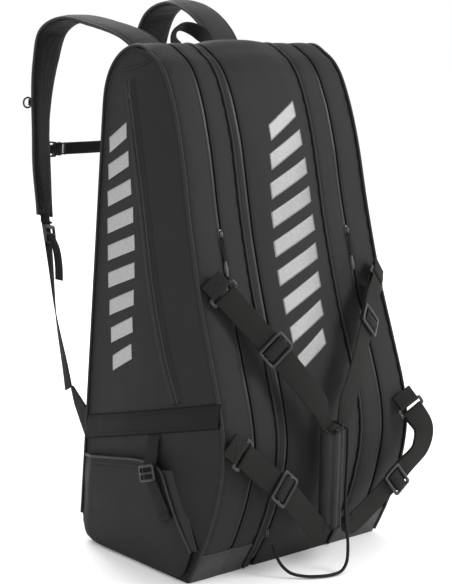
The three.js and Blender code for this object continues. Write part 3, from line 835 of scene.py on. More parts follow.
def base_board():
    line = base_line(70)
    columns = np.linspace(-HALF + 1.5, HALF - 1.5, 60)
    grid = np.stack([columns[None, :] * taper(line[:, 1])[:, None], line[:, None, 0] + 0 * columns[None, :],
                     line[:, None, 1] + 0 * columns[None, :]], -1)
    uv = np.stack([grid[..., 0], np.broadcast_to(np.arange(70)[:, None] * 4.0, grid.shape[:2])], -1)
    piece = cloth("base_cloth", grid, 2.6, COATED, uv, (0, 0.2, -1))
    keep(piece, "bag", "base_panel", slot="base_board")


base_board()

for name in ("divider_left", "divider_right"):
    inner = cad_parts[name]
    inner.data.materials.clear()
    inner.data.materials.append(LINING)


# ---------------------------------------------------------------- back panel
PAD_COLUMNS = ((-178, -22), (22, 178))
PAD_ROWS = ((58, 250), (266, 458), (474, 668))


def inflate(piece, voxel, pressure, cap):
    """Swells a closed mesh with Blender's cloth, moving no point further than cap millimetres."""
    remesh = piece.modifiers.new("remesh", "REMESH")
    remesh.mode = "VOXEL"
    remesh.voxel_size = voxel * MM
    bpy.context.view_layer.objects.active = piece
    bpy.ops.object.modifier_apply(modifier=remesh.name)
    count = len(piece.data.vertices)
    before = np.empty(count * 3, np.float32)
    piece.data.vertices.foreach_get("co", before)
    before = before.reshape(-1, 3)
    sim = piece.modifiers.new("cloth", "CLOTH")
    sim.settings.use_pressure = True
    sim.settings.uniform_pressure_force = pressure
    sim.settings.effector_weights.gravity = 0
    sim.settings.quality = 6
    sim.point_cache.frame_start = 1
    sim.point_cache.frame_end = 20
    scene = bpy.context.scene
    for step in range(1, 21):
        scene.frame_set(step)
    settled = piece.evaluated_get(bpy.context.evaluated_depsgraph_get())
    after = np.empty(count * 3, np.float32)
    settled.data.vertices.foreach_get("co", after)
    after = after.reshape(-1, 3)
    piece.modifiers.remove(sim)
    scene.frame_set(1)
    move = after - before
    reach = np.linalg.norm(move, axis=1, keepdims=True)
    move *= np.minimum(1, cap * MM / np.maximum(reach, 1e-9))
    piece.data.vertices.foreach_set("co", (before + move).ravel())
    smooth = piece.modifiers.new("smooth", "SUBSURF")
    smooth.levels = smooth.render_levels = 1
    bpy.ops.object.modifier_apply(modifier=smooth.name)
    piece.data.shade_smooth()
    return piece


def back_pad(name, x_range, z_range):
    """One quilted block of the back panel: crowned, with sides pulled in between its corners."""
    x_mid, z_mid = sum(x_range) / 2, sum(z_range) / 2
    half_x, half_z = (x_range[1] - x_range[0]) / 2, (z_range[1] - z_range[0]) / 2
    a, b = np.meshgrid(np.linspace(-1, 1, 34), np.linspace(-1, 1, 40))
    pinch_x = 1 - 0.035 * (1 - b ** 2)
    pinch_z = 1 - 0.03 * (1 - a ** 2)
    z = z_mid + half_z * b * pinch_z
    x = (x_mid + half_x * a * pinch_x) * taper(z)
    crown = (1 - a ** 4) * (1 - b ** 4)
    crown = np.clip(crown, 0, 1) ** 0.5
    spot = np.stack([x, z, np.zeros_like(x)], -1)
    y = BACK_Y + 1.0 + 6.2 * crown + 0.35 * cloth_noise(spot, 30, 5)
    grid = np.stack([x, y, z], -1)
    inner = np.stack([x, np.full_like(x, BACK_Y - 4.5), z], -1)
    verts = np.vstack([grid.reshape(-1, 3), inner.reshape(-1, 3)])
    rows, cols = x.shape
    index = np.arange(rows * cols).reshape(rows, cols)
    rim = np.concatenate([index[0, :], index[1:, -1], index[-1, -2::-1], index[-2:0:-1, 0]])
    after = np.roll(rim, -1)
    sides = np.stack([rim, after, after + rows * cols, rim + rows * cols], -1)
    faces = [*grid_faces(rows, cols), *grid_faces(rows, cols, rows * cols)[:, ::-1], *sides]
    piece = make_mesh(name, verts, faces, SPACER, closed=True)
    inflate(piece, 5, 3.0, 4)
    return keep(piece, "bag", slot="spacer_mesh")


def back_cloth():
    """The panel that the pads are quilted to, with its bound head and foot."""
    z = np.linspace(BACK_FOOT_Z, BACK_HEAD_Z, 140)
    columns = np.linspace(-HALF + 1.5, HALF - 1.5, 80)
    x = columns[None, :] * taper(z)[:, None]
    spot = np.stack(np.broadcast_arrays(x, z[:, None], 0.0), -1)
    y = BACK_Y + 0.4 + 0.5 * cloth_noise(spot, 40, 6)
    for low, high in PAD_ROWS:
        y = y - 0.8 * (bump(z[:, None] - low, 5) + bump(z[:, None] - high, 5))
    grid = np.stack([x, y, z[:, None] + 0 * x], -1)
    uv = np.stack([x, z[:, None] + 0 * x], -1)
    piece = cloth("back_cloth", grid, WALL, POLYESTER, uv, (0, 1, 0))
    keep(piece, "bag", "back_panel", slot="spacer_mesh")
    for name, height in (("head", BACK_HEAD_Z), ("foot", BACK_FOOT_Z + 1)):
        span = np.linspace(-HALF + 3, HALF - 3, 80) * taper(height)
        points = np.stack([span, np.full(80, BACK_Y + 1.4), np.full(80, height)], -1)
        keep(tube(f"back_{name}_binding", points, 2.6, COATED, 10), "bag")


back_cloth()
for row, z_range in enumerate(PAD_ROWS):
    for column, x_range in enumerate(PAD_COLUMNS):
        back_pad(f"back_pad_{row}_{column}", x_range, z_range)


# ---------------------------------------------------------------- left side: zip, band, shoe pocket
SIDE_ZIP = [(89, 728), (68, 668), (44, 584), (20, 490), (-8, 400), (-40, 318), (-66, 268)]
POCKET_TOP = [(142, 138), (66, 154), (-12, 168), (-48, 164), (-68, 130), (-84, 100), (-115, 52)]
POCKET_BOTTOM = [(142, 30), (130, 14), (106, 6), (20, 5), (-70, 5), (-96, 10), (-112, 42)]
POCKET_FOOT, POCKET_MOUTH, POCKET_HEIGHT = 3.0, 17.0, 168.0


def side_run(name, line, lift, spacing=3.4):
    points = on_side(line[:, 0], line[:, 1], lift)
    return stitches(name, points, np.tile([-1.0, 0, 0.02], (len(line), 1)), pitch=spacing)


def ribbon_on_side(name, line, offsets, lifts, thickness, material):
    """A strip of cloth along a line on the left side panel."""
    ahead = tangents(line)
    out = np.stack([ahead[:, 1], -ahead[:, 0]], -1)
    plan = line[:, None, :] + out[:, None, :] * np.asarray(offsets, float)[None, :, None]
    grid = on_side(plan[..., 0], plan[..., 1], np.broadcast_to(np.asarray(lifts, float), plan.shape[:2]))
    along = np.concatenate([[0], np.cumsum(np.linalg.norm(np.diff(line, axis=0), axis=1))])
    uv = np.stack(np.broadcast_arrays(np.asarray(offsets, float)[None, :], along[:, None]), -1)
    return cloth(name, grid, thickness, material, uv, (-1, 0, 0))


def side_zipper():
    line = spline(SIDE_ZIP, 200)
    tape = ribbon_on_side("side_tape", line, np.linspace(-6, 6, 7), 0.3, 0.8, TAPE)
    folds = []
    for k, side in (("front", -1), ("back", 1)):
        offsets = np.array([13, 12, 5, 2.2, 1.5, 1.7]) * side
        lifts = [-0.8, 0.5, 1.5, 2.1, 1.7, 0.6]
        if side < 0:
            offsets, lifts = offsets[::-1], lifts[::-1]
        folds.append(ribbon_on_side(f"side_fold_{k}", line, offsets, lifts, 0.9, POLYESTER))
        ahead = tangents(line)
        out = np.stack([ahead[:, 1], -ahead[:, 0]], -1)
        folds.append(side_run(f"side_fold_run_{k}", line + out * 5.5 * side, 1.7))
    dense = resample(line, 620)
    centres = on_side(dense[:, 0], dense[:, 1], 1.0)
    coil_ahead = tangents(centres)
    ups = np.tile([-1.0, 0, 0.02], (620, 1))
    across = unit(np.cross(coil_ahead, ups))
    beat = np.where(np.arange(620) % 2, 1.0, 0.6)
    section = [(-1.4, 0), (-0.8, 0.7), (0, 0.5), (0.8, 0.7), (1.4, 0), (0, -0.6)]
    coil = swept("side_coil", centres, across, ups, section, COIL, np.stack([np.ones(620), beat], -1))
    keep(join("side_zipper", [tape, *folds, coil]), "bag", "zip_side", slot="lining")


side_zipper()


def crest_seam():
    """The short seam that runs across the side panel above the zip."""
    line = spline([(106, 741), (84, 746), (62, 754), (44, 764)], 60)
    seam = tube("crest_seam_line", on_side(line[:, 0], line[:, 1], 0.4), 1.1, PIPING, 6)
    keep(join("crest_seam_side", [seam, side_run("crest_seam_run", line + [-1.5, 4], 0.3)]), "bag")


crest_seam()


def pocket_band():
    """The flap over the pocket: a doubled band with a hem and stitch lines top and bottom."""
    low, high = node_box("pocket_band")
    back_top, front_top = (high[1], 202.0), (low[1] - 10, high[2])
    a = np.linspace(0, 1, 80)[None, :]
    b = np.linspace(0, 1, 22)[:, None]
    y = back_top[0] + (front_top[0] - back_top[0]) * a + 2 * (1 - b)
    z = back_top[1] + (front_top[1] - back_top[1]) * a - 38 * (1 - b)
    rim = np.where((b < 0.03) | (b > 0.97), -1.2, 0.0)
    swag = 1.6 * np.sin(np.pi * b) + 0.8 * np.sin(5 * a + 1) * (1 - b)
    grid = on_side(y, z, 3.4 + rim + swag)
    uv = np.stack(np.broadcast_arrays(y, z), -1)
    band = cloth("band_cloth", grid, 1.6, FLAP, uv, (-1, 0, 0))
    runs = []
    for k, height in enumerate((0.07, 0.2, 0.82, 0.94)):
        row = int(height * 21)
        points = grid[row] + [-0.1, 0, 0]
        runs.append(stitches(f"band_run_{k}", points, np.tile([-1.0, 0, 0], (80, 1))))
    keep(join("pocket_flap", [band, *runs]), "bag", "pocket_band", slot="polyester")


pocket_band()


def pocket_grid(rows, cols):
    top, bottom = spline(POCKET_TOP, cols), spline(POCKET_BOTTOM, cols)
    b = np.linspace(0, 1, rows)[:, None, None]
    plan = bottom[None] * (1 - b) + top[None] * b
    y, z = plan[..., 0], plan[..., 1]
    a = np.linspace(0, 1, cols)[None, :]
    lean = POCKET_FOOT + (POCKET_MOUTH - POCKET_FOOT) * np.clip(z / POCKET_HEIGHT, 0, 1)
    rise = b[..., 0]
    full = 5.0 * np.sin(np.pi * rise) ** 0.8 * np.sin(np.pi * a) ** 0.5
    back_hold = smoothstep(0, 0.10, a)
    lift = lean * (0.15 + 0.85 * back_hold) * (1 - 0.35 * smoothstep(0.86, 1, a)) + full
    spot = np.stack([y * 0.8, z, np.zeros_like(y)], -1)
    lift = lift + 2.2 * cloth_noise(spot, 60, 8) * np.sin(np.pi * rise) + 0.6 * cloth_noise(spot, 22, 9)
    base_x = HALF * taper(z) + 3.2
    grid = np.stack([-(base_x + lift), y, z], -1)
    return grid, plan


def shoe_pocket():
    grid, plan = pocket_grid(46, 92)
    body = cloth("pocket_cloth", grid, 2.2, POLYESTER, plan, (-1, 0, 0))
    lip = grid[-1] + [-0.6, 0, 0.3]
    binding = tube("pocket_binding", smoothed(lip, 2), 2.3, COATED, 8)
    runs = [stitches(f"pocket_run_{k}", grid[row] + [-0.2, 0, 0], np.tile([-1.0, 0, 0.1], (92, 1)))
            for k, row in enumerate((-3, -5))]
    keep(join("pocket_panel", [body, binding, *runs]), "pocket", "shoe_pocket", slot="polyester")


shoe_pocket()


GUSSET_WIDTH = 26            # how far the bellows' sewn edge lies ahead of the pocket at the mouth


def pocket_gusset():
    """Bellows that join the pocket's slanting edge and its mouth to the side panel."""
    line = spline([(-46, 163), (-67, 128), (-86, 98), (-114, 54)], 60)
    share = np.linspace(0, 1, 16)
    rows = []
    for y, z in line:
        height = z / POCKET_HEIGHT
        reach = POCKET_FOOT + (POCKET_MOUTH - POCKET_FOOT) * height
        forward = GUSSET_WIDTH * (0.15 + 0.85 * height) * (1 - share) ** 0.8
        forward = forward + 3.0 * np.sin(np.pi * share) * height
        out = HALF * taper(z) + 2.2 + reach * share
        rows.append(np.stack([-out, y + 3 - forward, z + forward * 0.12], -1))
    grid = np.array(rows)
    uv = np.stack(np.broadcast_arrays(share[None, :] * 20, np.arange(60)[:, None] * 2.5), -1)
    bellows = cloth("pocket_bellows", grid, 1.2, STRAP_FACE, uv, (0, -1, 0))
    seam = tube("pocket_bellows_seam", grid[:, 0] + [-0.8, 0, 0], 1.3, COATED, 8)
    piece = join("pocket_bellows", [bellows, seam])
    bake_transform(piece)
    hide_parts("pocket_gusset")


pocket_gusset()


# ---------------------------------------------------------------- printed graphic
def slanted_bars(count, centre_low, centre_high, low, high, width, slant, bar_share):
    """Corners of a column of parallelograms, wider towards the middle, as (centre, half width, low, high)."""
    pitch = (high - low) / count
    for k in range(count):
        share = (k + 0.5) / count
        centre = centre_low + (centre_high - centre_low) * share
        half = width / 2 * (0.62 + 0.38 * math.sin(math.pi * share))
        yield centre, half, low + k * pitch, low + (k + bar_share) * pitch, slant


def centre_print():
    parts = []
    bars = slanted_bars(9, 2, 24, arc_at(322), arc_at(700), 100, 18, 0.56)
    for k, (centre, half, low, high, slant) in enumerate(bars):
        a = np.linspace(-1, 1, 24)[None, :]
        b = np.linspace(0, 1, 10)[:, None]
        x = centre + half * a
        arc = low + (high - low) * b + slant * a
        grid = on_spine(x + 0 * arc, arc, 0.32)
        uv = np.stack(np.broadcast_arrays(x + 0 * arc, arc), -1)
        parts.append(cloth(f"bar_{k}", grid, 0.3, SILVER, uv, (0, -1, 0.6)))
    keep(join("print_centre", parts), "bag")


def side_print():
    parts = []
    bars = slanted_bars(9, 104, 128, 300, 670, 88, 14, 0.56)
    for k, (_, half, low, high, slant) in enumerate(bars):
        a = np.linspace(-1, 1, 24)[None, :]
        b = np.linspace(0, 1, 10)[:, None]
        z = low + (high - low) * b + slant * a
        middle = 62 + (z - 300) * 0.135
        y = middle - half * a * 0.82
        grid = on_side(y, z, 0.32)
        uv = np.stack([y, z], -1)
        # the side bars take the lighter copy of the silver print, a painted highlight
        parts.append(cloth(f"side_bar_{k}", grid, 0.3, PAINTED_HIGHLIGHT_SIDE_SILVER, uv, (-1, 0, 0)))
    keep(join("print_side", parts), "bag")


centre_print()
side_print()


# ---------------------------------------------------------------- carry handles
WEB_WIDTH, WEB_THICK = 38, 2.2
GATHERED = 0.62
RING_BAR = 2.2               # distance from a ring's outer bar to the start of its webbing
LOOP_RADIUS = 3.3
WEB_REACH = 14               # how far each web runs on into the grip
HANDLES = {
    "upper_left": {
        "route": [(-156, -108, 430), (-128, -129, 394), (-92, -154, 348), (-54, -182, 296), (-23, -199, 248)],
        "widths": [(0.63, -0.1, 0.75), (0.75, -0.1, 0.62), (1, 0, 0.35)],
        "glide": 0.44,
    },
    "upper_right": {
        "route": [(160, -114, 424), (134, -131, 400), (102, -152, 364), (52, -182, 302), (3, -204, 247)],
        "widths": [(0.7, 0.1, -0.7), (0.75, 0.1, -0.62), (1, 0, -0.4)],
        "glide": 0.31,
    },
    "lower_left": {
        "route": [(-168, -177, 206), (-138, -184, 180), (-98, -189, 148), (-48, -191, 98), (-2, -193, 51)],
        "widths": [(0.6, 0.05, 0.8), (0.6, 0.05, 0.8), (0.8, 0, 0.6)],
        "glide": 0.38,
    },
    "lower_right": {
        "route": [(192, -183, 224), (204, -197, 198), (192, -203, 168), (158, -198, 138), (120, -192, 104),
                  (80, -188, 76), (34, -190, 56)],
        "widths": [(0.8, -0.1, 0.5), (0.95, 0, 0.1), (0.75, 0, -0.65), (0.6, 0, -0.8), (0.3, 0, -1)],
        "glide": 0.5,
    },
}
GRIP_TOP, GRIP_FOOT = np.array([-12.0, -199, 236]), np.array([12.0, -184, 70])


def node_frame(name, ahead_hint, side_hint):
    """Middle and axes of a flat piece of hardware, read from its frame node, turned towards two hints."""
    verts = np.array([v.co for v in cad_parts[name].data.vertices]) / MM
    verts = np.unique(np.round(verts, 3), axis=0)
    _, _, axes = np.linalg.svd(verts - verts.mean(0), full_matrices=False)
    left = list(range(3))
    found = []
    for hint in (ahead_hint, side_hint):
        best = max(left, key=lambda k: abs(axes[k] @ hint))
        left.remove(best)
        found.append(axes[best] * math.copysign(1, axes[best] @ hint))
    ahead, side = found
    up = np.cross(ahead, side)
    corners = np.stack([verts @ ahead, verts @ side, verts @ up], -1)
    middle = (corners.max(0) + corners.min(0)) / 2
    return ahead * middle[0] + side * middle[1] + up * middle[2], ahead, side, up


def handle_frame(branch):
    steps = 150
    centres, ahead, sides, ups = route_frame(branch["route"], branch["widths"], steps)
    face = 1 if (ups[int(branch["glide"] * steps)] @ np.array([0, -1, 0])) > 0 else -1
    return centres, ahead, sides, ups * face


def handle_branch(name, branch):
    """Doubled webbing: under from the glide, round the ring, then out over it to the grip."""
    centres, ahead, sides, outs = handle_frame(branch)
    steps = len(centres)
    t = np.linspace(0, 1, steps)
    glide_step = int(branch["glide"] * (steps - 1))
    rise = 3.1 * (1 - smoothstep(0.0, 0.16, t))
    dip = 1.2 * bump((t - branch["glide"]) * steps, 5)
    ripple = 0.9 * np.sin(t * 9 + len(name)) * smoothstep(0.15, 0.4, t) * (1 - smoothstep(0.75, 0.9, t))
    top = centres + outs * (rise - dip * 0.4 + ripple * 0.5)[:, None]
    into_grip = unit(GRIP_FOOT - GRIP_TOP) * (1 if name.startswith("upper") else -1)
    top = top + into_grip * (WEB_REACH * smoothstep(0.9, 1, t))[:, None]
    under_reach = glide_step + 7
    under = (centres - outs * (2.5 + rise * 0.2 + ripple * 0.1)[:, None])[:under_reach]
    centre = centres[0] - ahead[0] * RING_BAR
    turn = np.linspace(-math.pi / 2, math.pi / 2, 9)[1:-1]
    loop = [centre - ahead[0] * math.cos(a) * LOOP_RADIUS + outs[0] * math.sin(a) * LOOP_RADIUS for a in turn]
    route = np.vstack([under[::-1], loop, top])
    width_dirs = np.vstack([sides[:under_reach][::-1], np.tile(sides[0], (len(loop), 1)), sides])
    route = smoothed(route, 3)
    travel = tangents(route)
    width_dirs = squared(width_dirs, travel)
    full = np.concatenate([np.ones(under_reach + len(loop)), 1 - (1 - GATHERED) * smoothstep(0.86, 1, t)])
    thick = 1 + (1 / full - 1) * 0.9
    web = swept(f"web_{name}", route, width_dirs, np.cross(travel, width_dirs),
                flat_section(WEB_WIDTH, WEB_THICK), WEBBING, np.stack([full, thick], -1))
    pieces = [web]
    for k, offset in enumerate((-WEB_WIDTH / 2 + 3, WEB_WIDTH / 2 - 3)):
        run = slice(10, glide_step - 14)
        line = top[run] + sides[run] * offset + outs[run] * (WEB_THICK / 2)
        if len(line) > 12:
            pieces.append(stitches(f"web_run_{name}_{k}", line[:22], outs[run][:22]))
    piece = join(f"carry_web_{name}", pieces)
    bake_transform(piece)
    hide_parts(f"handle_web_{name}")
    return centres, ahead, sides, outs, glide_step


def tri_glide(name, ahead, sides, outs, step):
    """A rounded frame with two slots, and the webbing that climbs over its middle bar."""
    place, along, across, up = node_frame(f"tri_glide_{name}", ahead[step], sides[step])
    if up @ outs[step] < 0:
        across, up = -across, -up
    outer = rounded_rectangle(34, 50, 5)
    slots = [rounded_rectangle(9.6, 41, 2, (sx * 7.4, 0)) for sx in (-1, 1)]
    matrix = placed(place, along, across, up)
    frame_plate = plate(f"glide_frame_{name}", outer, slots, 4.2, 1.1, PLASTIC, matrix)
    bars = []
    for k, spot in enumerate((-14.6, 14.6)):
        ends = np.linspace(-21, 21, 24)
        line = place + along * spot + across * ends[:, None] + up * 1.7
        bars.append(tube(f"glide_bar_{name}_{k}", line, 1.6, PLASTIC, 10, ends=0.1))
    keep(join(f"glide_{name}", [frame_plate, *bars]), f"glide_{name}", f"tri_glide_{name}", slot="plastic")
    arch = np.linspace(0, math.pi, 24)
    line = place - along * 9.5 * np.cos(arch)[:, None] + up * (-3.0 + 6.4 * np.sin(arch) ** 0.8)[:, None]
    travel = tangents(line)
    width_dirs = np.tile(across, (24, 1))
    over = swept(f"glide_web_{name}", line, width_dirs, np.cross(travel, width_dirs),
                 flat_section(WEB_WIDTH - 0.5, 1.8), WEBBING)
    keep(over, f"glide_{name}")


def anchor(name, ahead, sides, outs):
    """A folded tab, sewn into the seam with a stitched box, that holds a rectangular moulded ring."""
    place, along, across, up = node_frame(f"anchor_{name}", ahead[0], sides[0])
    if up @ outs[0] < 0:
        across, up = -across, -up
    tip = place + along * 14.7
    ring_middle = tip - along * 7.3
    outer = rounded_rectangle(15.4, 50.5, 4.2)
    hole = rounded_rectangle(5.4, 41.5, 2.0, (0, 0))
    ring = plate(f"ring_{name}", outer, [hole], 4.2, 1.4, PLASTIC, placed(ring_middle, along, across, up))
    back_bar = tip - along * 13.0
    turn = np.linspace(-math.pi / 2, math.pi / 2, 9)
    fold = [back_bar + along * (math.cos(a) * 3.0 - 0.4) + up * math.sin(a) * 3.0 for a in turn]
    top = [tip - along * d + up * (3.0 - smoothstep(14, 34, d) * 2.6) for d in np.linspace(14.5, 36, 14)]
    bottom = [tip - along * d - up * (3.0 - smoothstep(14, 30, d) * 1.4) for d in np.linspace(14.5, 36, 14)]
    line = smoothed(np.array([*bottom[::-1], *fold, *top]), 2)
    width_dirs = np.tile(across, (len(line), 1))
    tab = ribbon(f"tab_{name}", line, width_dirs, flat_section(36.5, 2.0), WEBBING)
    box_points = [(18, -14), (18, 14), (32, 14), (32, -14), (18, -14), (32, 14), (32, -14), (18, 14)]
    box_line = []
    for (d0, w0), (d1, w1) in zip(box_points[:-1], box_points[1:]):
        for share in np.linspace(0, 1, 8, endpoint=False):
            d, w = d0 + (d1 - d0) * share, w0 + (w1 - w0) * share
            box_line.append(tip - along * d + across * w + up * (4.1 - smoothstep(14, 34, d) * 2.6))
    box_stitch = stitches(f"tab_box_{name}", np.array(box_line), up, pitch=3.0)
    keep(join(f"strap_anchor_{name}", [ring, tab, box_stitch]), "bag", f"anchor_{name}", slot="webbing")


for name, branch in HANDLES.items():
    centres, ahead, sides, outs, step = handle_branch(name, branch)
    tri_glide(name, ahead, sides, outs, step)
    anchor(name, ahead, sides, outs)


def carry_grip():
    """A padded wrap folded round the four webs, closed by its own overlap."""
    along = unit(GRIP_TOP - GRIP_FOOT)
    side = unit(np.array([1.0, 0, 0]) - along[0] * along)
    depth = np.cross(along, side)            # towards the back of the bag
    length = np.linalg.norm(GRIP_TOP - GRIP_FOOT)
    rows, cols = 70, 96
    v = np.linspace(0, 1, rows)[:, None]
    start, reach = math.radians(248), math.radians(402)
    theta = start + reach * np.linspace(0, 1, cols)[None, :]
    overlap = smoothstep(0.86, 0.93, np.linspace(0, 1, cols))[None, :]
    crease = sum(bump(np.sin((theta - at) / 2), 0.075) for at in (4.05, 4.75, 5.5))
    spot = np.stack(np.broadcast_arrays(np.cos(theta) * 18, np.sin(theta) * 15, v * length * 0.5), -1)
    waver = 0.9 * cloth_noise(spot, 16, 11) + 0.5 * cloth_noise(spot, 6, 12)
    radius = 1.05 + overlap * 0.13 - crease * 0.17 * (0.75 + 0.25 * np.sin(v * 7)) + waver * 0.045
    ends = 1 - 0.05 * (bump(v, 0.04) + bump(v - 1, 0.04))
    notch = 6 * smoothstep(0.90, 0.99, v) * bump(theta - math.radians(300), 0.35)
    run = v * length - notch - 6 * smoothstep(0.93, 1.0, v) * bump(theta - math.radians(590), 0.5)
    x = 18.4 * np.cos(theta) * radius * ends
    y = 15.2 * np.sin(theta) * radius * ends
    grid = GRIP_FOOT + along * run[..., None] + side * x[..., None] + depth * y[..., None]
    uv = np.stack(np.broadcast_arrays(theta * 17, v * length), -1)
    wrap = cloth("grip_wrap", grid, 2.4, STRAP_FACE, uv)
    parts = [wrap]
    for k, column in enumerate((cols - 3, 2)):
        line = grid[2:-3, column]
        out = unit(line - (GRIP_FOOT + along * ((line - GRIP_FOOT) @ along)[:, None]))
        parts.append(stitches(f"grip_run_{k}", line, out, lift=0.3))
    for k, row in enumerate((1, rows - 2)):
        line = smoothed(grid[row], 1)
        parts.append(tube(f"grip_edge_{k}", line, 1.3, WEBBING, 8))
    keep(join("grip_cover", parts), "carry_grip", "carry_grip", slot="webbing")
    share = np.linspace(-1, 1, 40)
    dome = np.sqrt(np.clip(1.02 - np.abs(share) ** 14, 0.02, 1))
    spots = GRIP_FOOT + along * ((share + 1) / 2 * (length + 8) - 4)[:, None]
    core = swept("grip_core", spots, np.tile(side, (40, 1)), np.tile(depth, (40, 1)),
                 round_section(16.2, 13.0, 28), WEBBING, np.stack([dome, dome], -1))
    keep(core, "carry_grip")


carry_grip()


# ---------------------------------------------------------------- keeper cord
CORD_WIDTH = 5.0
CORD_ROUTE = [
    (-75, -149, 46), (-74, -156, 34), (-71, -165, 20), (-64, -178, 9), (-50, -192, 4.5), (-30, -205, 3.6),
    (-6, -213, 3.6), (13, -214, 6), (26, -211, 16), (34, -205, 32), (37, -200, 50), (36, -196, 70),
    (33, -195, 95), (29, -197, 125), (24, -201, 158), (19, -205, 190), (14, -208, 218), (12, -209, 230),
]


def keeper_cord():
    line = spline(CORD_ROUTE, 220)
    piece = tube("keeper_cord_braid", line, CORD_WIDTH / 2, CORD, 12)
    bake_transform(piece)
    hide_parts("keeper_cord")


keeper_cord()


# ---------------------------------------------------------------- shoe pocket strap
POCKET_STRAP = [(-214, -24, 200), (-219, -28, 182), (-228, -34, 162), (-225, -48, 128), (-220, -70, 92)]
POCKET_STRAP_WIDTHS = [(0, 1, 0), (0, 1, 0), (0, 0.9, -0.4)]


def pocket_strap():
    steps = 90
    centres, ahead, sides, ups = route_frame(POCKET_STRAP, POCKET_STRAP_WIDTHS, steps)
    outs = ups * math.copysign(1, ups[30] @ np.array([-1.0, 0, 0]))
    t = np.linspace(0, 1, steps)
    wave_out = 0.8 * np.sin(t * 7) * smoothstep(0.45, 0.7, t)
    line = centres + outs * wave_out[:, None]
    web = ribbon("pocket_web", line, sides, flat_section(25, 1.7), WEBBING)
    folded = line[-9:] + outs[-9:] * 1.9
    hem = ribbon("pocket_web_hem", folded, sides[-9:], flat_section(25, 1.7), WEBBING)
    run = line[-7] + outs[-7] * 3 + sides[-7] * np.linspace(-10, 10, 12)[:, None]
    box_stitch = stitches("pocket_web_run", run, outs[-7])
    piece = join("pocket_closure", [web, hem, box_stitch])
    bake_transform(piece)
    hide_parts("pocket_strap")
    step = int(0.38 * steps)
    ladder_lock("pocket_buckle", "pocket_lock", "pocket_lock", ahead[step], sides[step], outs[step],
                26, 34, 27, 3.5)
    root = line[0] + np.array([[9.0, 1, 20], [5.0, 1, 12], [1.5, 0, 4], [0, 0, 0]])
    root = spline(root, 16)
    root_dirs = np.tile(sides[0], (16, 1))
    tab = ribbon("pocket_strap_root", root, root_dirs, flat_section(25, 1.7), WEBBING)
    keep(tab, "bag")


def ladder_lock(name, node, body, ahead_hint, side_hint, out_hint, length, width, slot_width, thick):
    """A buckle that grips webbing on its toothed middle bar, with a lifting lip at one end."""
    place, along, across, up = node_frame(node, np.asarray(ahead_hint), np.asarray(side_hint))
    if up @ out_hint < 0:
        across, up = -across, -up
    outer = rounded_rectangle(length, width, 3.6)
    gap = length * 0.26
    slots = [rounded_rectangle(gap, slot_width, 1.6, (sx * (gap / 2 + 1.7), 0)) for sx in (-1, 1)]
    matrix = placed(place, along, across, up)
    frame_plate = plate(f"{name}_frame", outer, slots, thick + 0.3, 0.9, PLASTIC, matrix)
    parts = [frame_plate]
    ends = np.linspace(-width / 2 + 3, width / 2 - 3, 20)
    bars = ((-length / 2 + 1.8, 1.6, 1.5), (length / 2 - 1.8, 2.2, 1.9), (0, 1.0, 1.5))
    for k, (spot, lift, radius) in enumerate(bars):
        line = place + along * spot + across * ends[:, None] + up * lift
        parts.append(tube(f"{name}_bar_{k}", line, radius, PLASTIC, 10, ends=0.1))
    for k, tooth in enumerate(np.linspace(-slot_width / 2 + 3, slot_width / 2 - 3, 6)):
        line = place + across * tooth + along * np.linspace(-2.4, 2.4, 5)[:, None] + up * 2.2
        parts.append(tube(f"{name}_tooth_{k}", line, 0.7, PLASTIC, 6, ends=0.3))
    keep(join(name, parts), body, node, slot="plastic")


pocket_strap()


# ---------------------------------------------------------------- backpack straps
SHOULDER = {
    "left": {
        "route": [(-80, 164, 744), (-83, 172, 766), (-90, 196, 784), (-108, 244, 800), (-128, 304, 806),
                  (-142, 338, 784), (-151, 345, 735), (-159, 343, 665), (-167, 328, 580), (-177, 302, 492)],
        "widths": [(1, 0, 0), (1, 0, 0), (0.97, 0.2, 0), (0.86, 0.5, 0), (0.92, 0.39, 0)],
        "tab": (-206, 190, 232),
    },
    "right": {
        "route": [(80, 164, 744), (80, 171, 768), (80, 194, 797), (79, 236, 824), (77, 284, 834),
                  (74, 326, 814), (72, 348, 764), (71, 352, 690), (76, 337, 596), (88, 302, 500)],
        "widths": [(1, 0, 0), (1, 0, 0), (0.97, -0.2, 0), (0.92, -0.39, 0), (0.92, -0.39, 0)],
        "tab": (206, 190, 232),
    },
}
SHOULDER_WIDTH = 62.0


